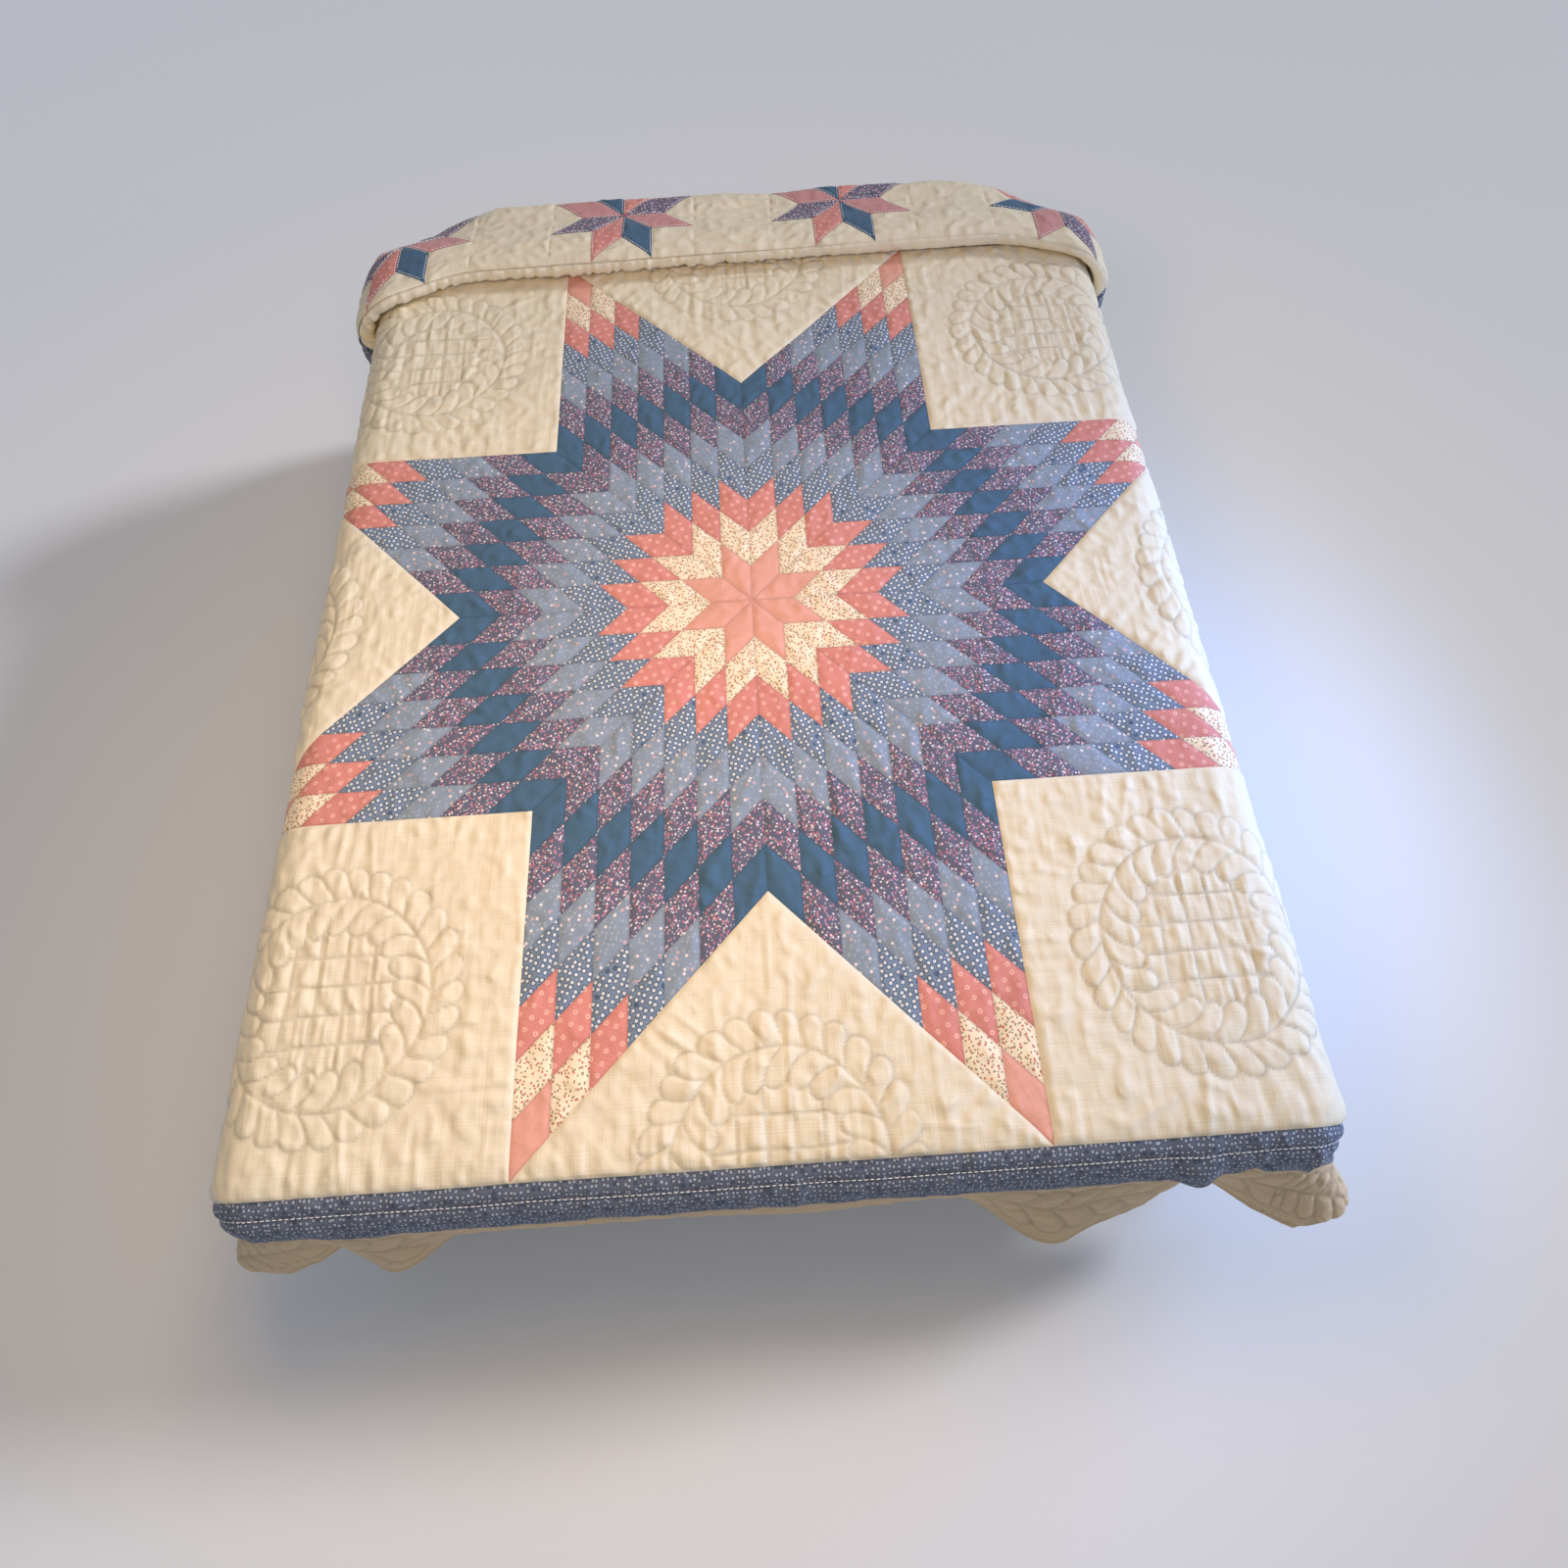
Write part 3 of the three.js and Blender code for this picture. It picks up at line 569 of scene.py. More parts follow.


# %% [markdown]
# The fabrics, each named for its cloth. Plain ones have a colour only, and calicoes have up to three rows
# of print. The colours are those of washed cloth, a little greyed, but the border's muslin is darker and
# tanner than the muslin of the middle: painted shade.

# %% Fabrics
MUSLIN = cotton("unbleached muslin", "#E9DEC2", fade=0.05, crumple=1.3)
ROSE = cotton("rose cotton", "#E6A995", fade=0.08)
DUSTY = cotton("dusty rose cotton", "#CF9694", fade=0.08)
NAVY = cotton("faded navy cotton", "#4A6A84", fade=0.10, crumple=1.5)
SPRIG = cotton(
    "cream sprig calico",
    "#F8E8CA",
    [
        ("#A27C5B", 6, 0.24, 0.9, 0.62, 0),
        ("#93946F", 7, 0.2, 0.9, 0.5, 0),
        ("#CF7D6B", 8, 0.22, 0.9, 0.55, 0),
    ],
)
ROSE_DOT = cotton("rose dotted calico", "#D98E83", [("#F5C0B0", 17, 0.21, 0.3, 0.95, 0.1)])
BLUE_DOT = cotton(
    "blue dotted calico",
    "#7A8BA0",
    [
        ("#4F637C", 9, 0.47, 0.4, 1, 0),
        ("#EEF0EE", 9, 0.27, 0.4, 0.97, 0.07),
        ("#93A3B4", 5, 0.18, 1, 0.4, 0),
    ],
)
SLATE = cotton(
    "slate calico",
    "#8D9BAB",
    [
        ("#A0ACB8", 8, 0.3, 1, 0.6, 0),
        ("#EFE1DF", 17, 0.14, 1, 0.55, 0),
        ("#CFAEB2", 22, 0.12, 1, 0.5, 0),
    ],
)
MAUVE = cotton(
    "mauve floral calico",
    "#66677A",
    [
        ("#C0B6C1", 5.5, 0.25, 1, 0.6, 0),
        ("#B97C90", 7, 0.3, 1, 0.55, 0),
        ("#F0E7E5", 9, 0.18, 1, 0.6, 0),
    ],
)
STRIP_BLUE = cotton(
    "blue border calico",
    "#666F80",
    [("#4C5669", 7, 0.47, 0.6, 1, 0), ("#C2CAD3", 7, 0.26, 0.6, 0.85, 0.09)],
)
# painted shade: the border is the muslin of the middle, coloured darker and tanner because it hangs in shade
SHADED_BORDER_MUSLIN = cotton("border muslin in painted shade", "#D8BE96", fade=0.06, crumple=1.3)
BACKING = cotton("tan backing", "#CFB68C", fade=0.06)
BIND = cotton("muslin binding", "#D0B78E", fade=0.05)
THREAD = cotton("white thread", "#F4F6FA", fade=0.04)
print("fourteen cottons")

# %% [markdown]
# Quilting pulls the sandwich down along each line of stitches, and the wadding stands up between the
# lines. So the relief is a function of one thing, the distance to the nearest line: low on it, and
# rounded up to a height. Cloth blown up by pressure would do it too, but slowly, and its lines would not
# stay sharp.

# %% Relief from stitch lines
def puffed(distance, height, width):
    """The cloth's rise at a distance from a stitch line: height times one less e to the minus x, where x
    is the distance over the width, to the power 1.3."""
    return height * (1 - np.exp(-((np.maximum(distance, 0) / width) ** 1.3)))


def feathers(along, away, pitch, reach, lean):
    """Signed distance to the stitch lines of a row of feathers on a spine. Each is a comma: its foot
    runs along the spine, it bends outwards over a way of lean, and it ends in a half circle at its
    reach. Beyond the row the distance is negative."""
    bent = lean * (1 - (1 - np.clip(away / reach, 0, 1)) ** 2)
    across = (((along - bent) / pitch) % 1 - 0.5) * pitch
    start = reach - pitch / 2
    cap = pitch / 2 - np.hypot(away - start, across)
    return np.minimum(np.where(away < start, pitch / 2 - np.abs(across), cap), away)


def lines(at, pitch):
    """Distance to the nearest of many even lines, one of them half a pitch from zero."""
    return np.abs(((at / pitch) % 1) - 0.5) * pitch


SPINE, FEATHERS_OUT, FEATHERS_IN, HATCH = 143.0, 30, 21, 40.0
REACH_OUT, REACH_IN, LEAN_OUT, LEAN_IN = 46.0, 52.0, 20.0, 30.0
RISE_OUT, RISE_IN, RISE_HATCH, RISE_PLAIN, LINE_WIDTH = 2.8, 2.6, 2.8, 1.6, 4.0
WANDER = 3.5  # how far hand-drawn lines stray, mm


def wreath(x, y):
    """Height of a quilted feather wreath about its middle, and the distance to its nearest stitch
    line. Feathers stand outside and inside a round spine, and squares of cross hatching fill the
    middle. Outside the wreath the plain cloth rises slowly away from the last feathers."""
    x, y = x + WANDER * grain(x, y, 60, 60, 26), y + WANDER * grain(x, y, 60, 60, 27)
    r, turn = np.hypot(x, y), np.arctan2(y, x)
    turn = turn + 0.035 * grain(turn * 200, r, 70, 70, 28)
    middle_out, middle_in = SPINE + REACH_OUT / 2, SPINE - REACH_IN / 2
    pitch_out, pitch_in = 2 * np.pi * middle_out / FEATHERS_OUT, 2 * np.pi * middle_in / FEATHERS_IN
    outer = feathers(turn * middle_out, r - SPINE, pitch_out, REACH_OUT, LEAN_OUT)
    inner = feathers(turn * middle_in, SPINE - r, pitch_in, REACH_IN, LEAN_IN)
    hatch = np.minimum(np.minimum(lines(x, HATCH), lines(y, HATCH)), -inner)
    parts = [(r >= SPINE) & (outer > 0), r >= SPINE, inner > 0]
    gathered = 0.8 * grain(x, y, 8, 50, 24) + 1.4 * wrinkles(x, y, 13, 70, 29)
    uneven = 1 + 0.3 * grain(x, y, 40, 40, 30)
    feather_out, feather_in = (
        puffed(inside, rise * uneven, LINE_WIDTH) for inside, rise in ((outer, RISE_OUT), (inner, RISE_IN))
    )
    rises = [feather_out, puffed(-outer, RISE_PLAIN, 2 * LINE_WIDTH), feather_in]
    rises = [rise + share * gathered for rise, share in zip(rises, (0.7, 0.4, 0.9))]
    squares = puffed(hatch, RISE_HATCH * uneven, 1.25 * LINE_WIDTH) + 1.8 * gathered * smooth(hatch / 6)
    return np.select(parts, rises, squares), np.select(parts, [outer, -outer, inner], hatch)


print("wreath", 2 * (SPINE + REACH_OUT), "mm across")

# %% [markdown]
# The large star: eight points of seven by seven diamonds. Counted from the middle, each ring of diamonds
# is one fabric, and the order of the fabrics runs out to the navy ring and back to the tips. A single
# picture of the star would look flat, so each diamond is a patch of its own, puffed between its seams, a
# little unevenly.

# %% The large star
RING_CLOTHS = [ROSE, SPRIG, ROSE_DOT, BLUE_DOT, SLATE, MAUVE, NAVY]
FINE, PUFF = 13, 2.0
rng = np.random.default_rng(11)


def heading(eighths):
    """A unit vector at a number of eighths of a turn."""
    return np.array([math.cos(eighths * math.pi / 4), math.sin(eighths * math.pi / 4)])


def turned(u, v, eighths, shift):
    """Flat places turned back by some eighths of a turn and moved, as a print lies on a cut patch."""
    c, s = heading(eighths)
    return c * u + s * v + shift[0], c * v - s * u + shift[1]


def diamond(origin, k, side, fine, height):
    """One diamond between the directions k and k + 1, raised between its seams by about a height."""
    made = patch(origin, heading(k) * side, heading(k + 1) * side, fine, fine)
    s, t = made["s"], made["t"]
    seam = np.minimum(np.minimum(s, 1 - s), np.minimum(t, 1 - t)) * side * math.sqrt(0.5)
    uneven = height * rng.uniform(0.7, 1.25) * (1 + 0.25 * grain(made["u"], made["v"], 22, 22, 5))
    creased = 1.3 * wrinkles(made["u"], made["v"], 26, 34, 32) * smooth(seam / 8)
    made["lift"] = puffed(seam, uneven, 6) + creased
    # painted shade in the groove along the diamond's seams
    made["stitch_shade"] = 0.7 * np.exp(-((seam / 1.8) ** 2))
    made["print"] = turned(made["u"], made["v"], k + 0.5, rng.uniform(0, 900, 2))
    return made


star_patches = []
for k in range(8):
    for i in range(ROWS):
        for j in range(ROWS):
            corner = (heading(k) * i + heading(k + 1) * j) * DIAMOND
            made = diamond(corner, k, DIAMOND, FINE, PUFF)
            ring = i + j
            made["cloth"] = min(ring, 2 * (ROWS - 1) - ring)
            star_patches.append(made)
STAR_SPAN = (STAR, -STAR, STAR)
star = cloth_piece("star_patchwork", star_patches, RING_CLOTHS, STAR_SPAN)

# %% [markdown]
# Between the points lie four muslin squares and four muslin triangles. Each square has a whole wreath,
# and each triangle half a wreath on its long side. The cloth puckers where the stitching draws it in. The
# relief is real geometry, on a grid of about 3 mm, so that it catches a low light and stays in the
# exported mesh.

# %% Muslin squares and triangles
MUSLIN_FINE, WREATH_RIM, FAR_SEAM = 154, 222.0, 900.0
OFF_MIDDLE = {1: (10, 0), 3: (-10, 0), 5: (-18, -10), 7: (10, 0)}  # the wreaths were marked by eye


def near_line(distance, width):
    """How close a place is to a stitch line: 1 on the line, falling off as a bell curve of a width."""
    return np.exp(-((distance / width) ** 2))


def wreath_lift(made, x, y, edges):
    """A wreath about (x, y) on a patch, brought down to its seams. The stitching draws the cloth in,
    so puckers run out from the wreath and in from each seam, and the seam itself stands up as a narrow
    ridge."""
    u, v = made["u"], made["v"]
    r, turn = np.hypot(x, y), np.arctan2(y, x)
    rise, line = wreath(x, y)
    puckers = 1.5 * near_line(r - WREATH_RIM, 48) * grain(turn * 210, r, 15, 90, 8)
    puckers = puckers + 0.5 * grain(u, v, 14, 26, 9) + 1.3 * wrinkles(u, v, 30, 62, 10)
    for n, (along, away) in enumerate(edges):
        puckers = puckers + 2.2 * np.exp(-away / 50) * grain(along, away, 11, 80, 25 + n)
    seam = np.min([away for _, away in edges], axis=0)
    made["lift"] = (rise + 1.4 + puckers) * smooth(seam / 9) + 1.1 * bump((seam - 4) / 4)
    # painted shade in the grooves of the wreath's quilted lines, faded out at the seams
    made["stitch_shade"] = near_line(line, 2.0) * smooth(seam / 6) * (0.8 + 0.4 * grain(u, v, 30, 30, 31))


def notch(k, side):
    """The inner corner and the two sides of the gap between two points of a star."""
    return heading(k) * side, heading(k - 1) * side, heading(k + 1) * side


square_patches, triangle_patches = [], []
for k in range(8):
    half = k % 2 == 0
    valley, a, b = notch(k, POINT)
    made = patch(valley, a, b, MUSLIN_FINE, MUSLIN_FINE, half=half)
    s, t = made["s"] * POINT, made["t"] * POINT
    edges = [(t, s), (s, t)]
    if half:
        edges.append((s - t, (POINT - s - t) / math.sqrt(2)))
    else:
        edges += [(t + FAR_SEAM, POINT - s), (s + FAR_SEAM, POINT - t)]
    middle = valley + (a + b) / 2 + np.array(OFF_MIDDLE.get(k, (0, 0)))
    wreath_lift(made, made["u"] - middle[0], made["v"] - middle[1], edges)
    (triangle_patches if half else square_patches).append(made)
squares = cloth_piece("muslin_squares", square_patches, [MUSLIN], STAR_SPAN)
triangles = cloth_piece("muslin_triangles", triangle_patches, [MUSLIN], STAR_SPAN)

# %% [markdown]
# The head panel is a plain strip, most of it hidden in the fold, and the row of small stars above it.
# Where the strip comes out of the fold it is drawn into short gathers along the seam of the row. A small
# star is the large one with a single diamond in each point, so the same patches make it.

# %% Head panel
SMALL_POINT = SMALL_STAR / (2 + math.sqrt(2))
SPACER = (2 * STAR - 4 * SMALL_STAR) / 3
SMALL_CLOTHS = [MAUVE, ROSE_DOT, NAVY, DUSTY]
HEAD_CLOTHS = [MUSLIN, *SMALL_CLOTHS]
ROW_MIDDLE = STAR + TUCK + SMALL_STAR / 2
SMALL_FINE, SMALL_PUFF = 20, 2.4
GATHERS, GATHER_CELL, TUCK_CELL, SPACER_CELL = 46.0, 3.4, 7.0, 4.0


def panel_lift(u, v, seam):
    """Loose folds of the plain panel: two sets of narrow ridges that run mostly along the fold."""
    soft = 3.2 * wrinkles(u + 0.6 * v, v, 90, 22, 14) + 2.6 * wrinkles(u - 0.8 * v, v, 60, 24, 15)
    return (1.2 + soft + 0.4 * grain(u, v, 11, 11, 33)) * smooth(seam / 7)


def gathered_share(u):
    """How much of the gathers shows: all of them on the left, and a quarter on the right, where the
    fold is tight."""
    return mix(1, 0.25, smooth((u + 50) / 400))


def gathered_lift(u, v, seam):
    """The plain strip where it comes out of the fold: short gathers that end in the groove of the seam
    above."""
    gathers = 4.2 * grain(u, v, 8.5, 60, 12) + 2.0 * grain(u, v, 21, 90, 13)
    groove = 2.0 * near_line(v - STAR - TUCK, 4)
    return (2.2 + gathers * gathered_share(u)) * smooth(seam / 6) - groove * gathered_share(u)


def gathered_seam_shade(u, v):
    """Painted shade along the seam at the top of the gathers, which lies in shade."""
    uneven = 0.6 + 0.35 * grain(u, v, 25, 25, 34)
    return near_line(v - STAR - TUCK, 2.5) * uneven * gathered_share(u)


def plain_patch(u0, v0, u1, v1, cell, lift, stitch_shade=None):
    """A rectangle of cloth in cells of about one size, with functions for its lift and for the painted shade
    along its stitch lines."""
    na, nb = (max(2, round(abs(x) / cell)) for x in (u1 - u0, v1 - v0))
    made = patch((u0, v0), (u1 - u0, 0), (0, v1 - v0), na, nb)
    s, t = made["s"], made["t"]
    seam = np.minimum(np.minimum(s, 1 - s) * abs(u1 - u0), np.minimum(t, 1 - t) * abs(v1 - v0))
    made["lift"] = lift(made["u"], made["v"], seam)
    made["stitch_shade"] = stitch_shade(made["u"], made["v"]) if stitch_shade else made["stitch_shade"]
    return made


def small_star(middle, shift):
    """Eight diamonds with four squares and four triangles between them, in a square block."""
    made = []
    for k in range(8):
        made.append(diamond(middle, k, SMALL_POINT, SMALL_FINE, SMALL_PUFF))
        made[-1]["cloth"] = 1 + (k - shift) % 4
        valley, a, b = notch(k, SMALL_POINT)
        plain = patch(middle + valley, a, b, SMALL_FINE, SMALL_FINE, half=k % 2 == 0)
        s, t = plain["s"], plain["t"]
        rest = (1 - s - t) / math.sqrt(2) if k % 2 == 0 else np.minimum(1 - s, 1 - t)
        seam = np.minimum(np.minimum(s, t), rest) * SMALL_POINT
        plain["lift"] = panel_lift(plain["u"], plain["v"], seam)
        made.append(plain)
    return made


gathers_start = STAR + TUCK - GATHERS
head_patches = [
    plain_patch(-STAR, STAR, STAR, gathers_start, TUCK_CELL, panel_lift),
    plain_patch(-STAR, gathers_start, STAR, STAR + TUCK, GATHER_CELL, gathered_lift, gathered_seam_shade),
]
star_lefts = [-STAR + n * (SMALL_STAR + SPACER) for n in range(4)]
small_middles = [np.array([left + SMALL_STAR / 2, ROW_MIDDLE]) for left in star_lefts]
for n in range(4):
    head_patches += small_star(small_middles[n], 2 if n == 3 else 0)
    if n < 3:
        start = star_lefts[n] + SMALL_STAR
        head_patches.append(plain_patch(start, STAR + TUCK, start + SPACER, ROW_TOP, SPACER_CELL, panel_lift))
head_panel = cloth_piece("head_panel", head_patches, HEAD_CLOTHS, (STAR, STAR, ROW_TOP))

# %% [markdown]
# A blue strip frames the quilt on all four sides, sewn down with lines along it, and outside it runs a
# border of muslin with a row of quilted feathers. Both hang over the edges of the bed, and the border's
# muslin is coloured darker and tanner than the middle's: painted shade. A texture on one flat sheet could
# stand for them, but their seams and feathers would not catch the light, so they are patches like the rest.

# %% Strip and border
STRIP_LINES = np.array([0.0, 0.24, 0.66, 1.0]) * STRIP
STRIP_CELL, BORDER_CELL, GROOVE_SHADE_WIDTH = 5.0, 5.6, 2.6
BORDER_SPINE, BORDER_PITCH, BORDER_OUT, BORDER_IN, BORDER_LEAN = 78.0, 46, 70, 62, 30


def frame_sides(inner, wide, low, high):
    """The four rectangles of a frame round the quilt: foot, head, left and right."""
    outer = inner + wide
    return [
        (-outer, low - wide, outer, low),
        (-outer, high, outer, high + wide),
        (-outer, low, -inner, high),
        (inner, low, outer, high),
    ]


def outward(u, v, inner, low, high):
    """How far a place lies outside a rectangle, and its way along the nearest side."""
    past_side, past_end = np.abs(u) - inner, np.maximum(low - v, v - high)
    return np.maximum(past_side, past_end), np.where(past_side > past_end, v, u)


def strip_line(u, v):
    """Distance to the nearest of the strip's sewn lines, and the places outward and along."""
    away, along = outward(u, v, STAR, -STAR, ROW_TOP)
    return np.min(np.abs(away[..., None] - STRIP_LINES), -1), away, along


def strip_lift(u, v, seam):
    """The strip's rise between its sewn lines, with short puckers across it."""
    line, away, along = strip_line(u, v)
    puckers = 0.5 * grain(along, away, 11, 60, 17) + 0.5 * grain(u, v, 30, 30, 18)
    return puffed(line, 3.4, 7) + 1.6 * puckers * smooth(line / 6)


def border_line(u, v):
    """Signed distance to a row of feathers on both sides of a spine along the border, and the place
    outward."""
    away, along = outward(u, v, STAR + STRIP, -STAR - STRIP, ROW_TOP + STRIP)
    outer = feathers(along, away - BORDER_SPINE, BORDER_PITCH, BORDER_OUT, BORDER_LEAN)
    inner = feathers(along, BORDER_SPINE - away, BORDER_PITCH, BORDER_IN, BORDER_LEAN)
    return np.where(away > BORDER_SPINE, outer, inner), away


def border_lift(u, v, seam):
    """The border's feathers, raised between their lines, and puckers between them."""
    inside, away = border_line(u, v)
    relief = np.where(inside > 0, puffed(inside, 3.6, 8), puffed(-inside, 1.4, 10))
    rim = np.minimum(away, BORDER - away)
    return (relief + 0.6 * grain(u, v, 24, 24, 19)) * smooth(rim / 8)


def strip_groove_shade(u, v):
    """Painted shade in the groove of the strip's sewn lines: how close a place is to one of them."""
    return near_line(strip_line(u, v)[0], GROOVE_SHADE_WIDTH)


def border_groove_shade(u, v):
    """Painted shade in the groove of the border's feather lines: how close a place is to one of them."""
    return near_line(border_line(u, v)[0], GROOVE_SHADE_WIDTH)


WHOLE_QUILT = (HEM, -HEM, HEAD_HEM)
strip_sides = frame_sides(STAR, STRIP, -STAR, ROW_TOP)
strip_patches = [plain_patch(*side, STRIP_CELL, strip_lift, strip_groove_shade) for side in strip_sides]
border_sides = frame_sides(STAR + STRIP, BORDER, -STAR - STRIP, ROW_TOP + STRIP)
border_patches = [plain_patch(*side, BORDER_CELL, border_lift, border_groove_shade) for side in border_sides]
strip = cloth_piece("blue_strip", strip_patches, [STRIP_BLUE], WHOLE_QUILT)
border = cloth_piece("outer_border", border_patches, [SHADED_BORDER_MUSLIN], WHOLE_QUILT)

# %% [markdown]
# White thread shows where it lies on dark cloth: a line of running stitches along the blue strip, and one
# inside each diamond of the small stars. A stitch is a short cord that dips at both ends. Real thread is
# 0.5 mm thick, and here it is drawn 1.3 mm thick so that it still shows from the foot of the bed.

# %% Where the stitches go
STITCH_LONG, STITCH_STEP, SEW_IN = 6.0, 8.0, 2.6
STRIP_RISE, SMALL_RISE = 0.5, 1.6  # how high the cloth stands under each line of stitches


def running(path):
    """The stitches along a path of flat corners: for each the two ends, STITCH_STEP apart."""
    ends = []
    for a, b in zip(path, path[1:]):
        span = np.subtract(b, a)
        length = np.hypot(*span)
        start = np.arange(STITCH_STEP / 2, length - STITCH_LONG, STITCH_STEP)
        at = np.stack([start, start + STITCH_LONG], -1)[..., None] / length
        ends.append(np.asarray(a) + at * span)
    return np.concatenate(ends)


def rectangle(inner, low, high):
    """The closed path round a rectangle of half width inner, from v low to v high."""
    return [(-inner, low), (inner, low), (inner, high), (-inner, high), (-inner, low)]


sewn = STRIP_LINES[1]
stitch_ends = [running(rectangle(STAR + sewn, -STAR - sewn, ROW_TOP + sewn))]
stitch_rise = [np.full(len(stitch_ends[0]), STRIP_RISE)]
for middle in small_middles:
    for k in range(8):
        a, b = heading(k), heading(k + 1)
        corner = middle + SEW_IN * (a + b) / math.sin(math.pi / 4)
        side = SMALL_POINT - 2 * SEW_IN / math.sin(math.pi / 4)
        loop = [corner, corner + a * side, corner + (a + b) * side, corner + b * side, corner]
        stitch_ends.append(running(loop))
        stitch_rise.append(np.full(len(stitch_ends[-1]), SMALL_RISE))
stitch_ends, stitch_rise = np.concatenate(stitch_ends), np.concatenate(stitch_rise)
print(len(stitch_ends), "stitches")

# %% [markdown]
# Each stitch is a tube of four rings, thin at both ends. A curve object for each would be slow with this
# many, so all the tubes are worked out at once, as one array of stitches, rings and points round each
# ring.

# %% Quilting thread
THREAD_RADIUS, THREAD_SINK, THREAD_SIDES = 0.65, 0.4, 5
RING_PLACE, RING_SIZE = np.array([0.0, 0.3, 0.7, 1.0]), np.array([0.5, 1.0, 1.0, 0.5])

first, last = stitch_ends[:, 0], stitch_ends[:, 1]
flat = first[:, None] + RING_PLACE[:, None] * (last - first)[:, None]
way = (last - first) / STITCH_LONG
aside = np.stack([-way[:, 1], way[:, 0]], -1)
turn = np.linspace(0, 2 * np.pi, THREAD_SIDES, endpoint=False)
radius = THREAD_RADIUS * RING_SIZE
round_flat = flat[:, :, None] + aside[:, None, None] * (radius[:, None] * np.cos(turn))[..., None]
round_rise = stitch_rise[:, None, None] + radius[:, None] * (1 + np.sin(turn)) - THREAD_SINK
round_high = THICK / 2 + round_rise
thread_points = on_cloth(round_flat[..., 0], round_flat[..., 1], round_high)
count, rings, around = thread_points.shape[:3]
i, j = pairs(np.arange(rings - 1), np.arange(around))
nxt = (j + 1) % around
tube = np.stack([i * around + nxt, i * around + j, (i + 1) * around + j, (i + 1) * around + nxt], -1)
faces = (tube[None] + (np.arange(count) * rings * around)[:, None, None]).reshape(-1, 4).tolist()
ends = np.arange(count)[:, None] * rings * around
faces += (ends + np.arange(around)).tolist() + (ends + rings * around - 1 - np.arange(around)).tolist()
thread_mesh = bpy.data.meshes.new("quilting_thread")
thread_mesh.from_pydata(thread_points.reshape(-1, 3).tolist(), [], faces)
corner_points = np.empty(len(thread_mesh.loops), np.int32)
thread_mesh.loops.foreach_get("vertex_index", corner_points)
prints = round_flat.reshape(-1, 2)[corner_points] * MM
thread_mesh.uv_layers.new(name="Print").uv.foreach_set("vector", prints.astype(np.float32).ravel())
thread = link_piece("quilting_thread", thread_mesh, [THREAD])
print("thread", count, "stitches,", len(faces), "faces")

# %% [markdown]
# The backing is one whole cloth under everything. It shows only inside the ears of the hem, so its grid
# is wider, and closer where the fold turns.

# %% Backing
BACK_CELL, TURN_CELL = 12.0, 4.0
FOLD_TURNS = [(872.0, 950.0), (1040.0, 1094.0)]  # where in v the cloth turns back and forth


def backing_patch(rows, columns):
    """A grid of given rows and columns over the whole quilt."""
    made = patch((-HEM, -HEM), (2 * HEM, 0), (0, HEM + HEAD_HEM), len(columns) - 1, len(rows) - 1)
    u, v = pairs(columns, rows)
    made["u"], made["v"], made["print"] = u, v, (u, v)
    made["lift"] = -0.5 * np.abs(grain(u, v, 30, 30, 21))
    return made


rows = [np.arange(-HEM, HEAD_HEM, BACK_CELL), [HEAD_HEM]]
rows += [np.arange(start, end, TURN_CELL) for start, end in FOLD_TURNS]
columns = np.append(np.arange(-HEM, HEM, BACK_CELL), HEM)
back_patch = backing_patch(np.unique(np.concatenate(rows)), columns)
backing = cloth_piece("backing", [back_patch], [BACKING], WHOLE_QUILT, side=-1)

# %% [markdown]
# The binding is a narrow strip folded over the raw edge. It is a rounded profile carried along the hem:
# at each point of the path the cloth's normal and the direction out of the edge span the profile.

# %% Binding
BIND_WIDE, BIND_THICK, BIND_GAP = 12.0, 8.0, 1.2
HEM_STEP, PROFILE_POINTS, PROFILE_STEP, SQUASH = 6.0, 14, 3.0, 0.7


def hem_path():
    """Places round the edge of the flat quilt: even steps along its four sides, whose corners are then
    rounded."""
    corner = np.array(rectangle(HEM, -HEM, HEAD_HEM))
    sides = []
    for a, b in zip(corner, corner[1:]):
        sides.append(np.linspace(a, b, round(np.hypot(*(b - a)) / HEM_STEP), endpoint=False))
    return rounded(*np.concatenate(sides).T)


def squash(x):
    """Squares a circle a little: the sign of x times its size to the power SQUASH."""
    return np.sign(x) * np.abs(x) ** SQUASH


hem_u, hem_v = hem_path()
hem_up = cloth_normal(hem_u, hem_v)
hem = drape(hem_u, hem_v) + hem_up * sway(hem_u, hem_v)[:, None]
hem_out = np.cross(np.roll(hem, -1, 0) - np.roll(hem, 1, 0), hem_up)
hem_out /= np.linalg.norm(hem_out, axis=1, keepdims=True)
turn = np.linspace(0, 2 * np.pi, PROFILE_POINTS, endpoint=False)
wide = BIND_GAP + BIND_WIDE / 2 - 2 + (BIND_WIDE / 2 + 1) * squash(np.cos(turn))
puff = (1 + 0.12 * grain(np.arange(len(hem)) * HEM_STEP, 0 * hem_u, 14, 14, 23))[:, None]
tall = puff * BIND_THICK / 2 * squash(np.sin(turn))
bind_points = hem[:, None] + hem_out[:, None] * wide[:, None] + hem_up[:, None] * tall[..., None]
n, m = bind_points.shape[:2]
i, j = pairs(np.arange(n), np.arange(m))
ahead_i, ahead_j = (i + 1) % n, (j + 1) % m
quads = np.stack([i * m + j, ahead_i * m + j, ahead_i * m + ahead_j, i * m + ahead_j], -1)
bind_mesh = bpy.data.meshes.new("binding_strip")
bind_mesh.from_pydata((bind_points.reshape(-1, 3) * MM).tolist(), [], quads.tolist())
along_print = np.stack([i, i + 1, i + 1, i], -1) * HEM_STEP
round_print = np.stack([j, j, j + 1, j + 1], -1) * PROFILE_STEP
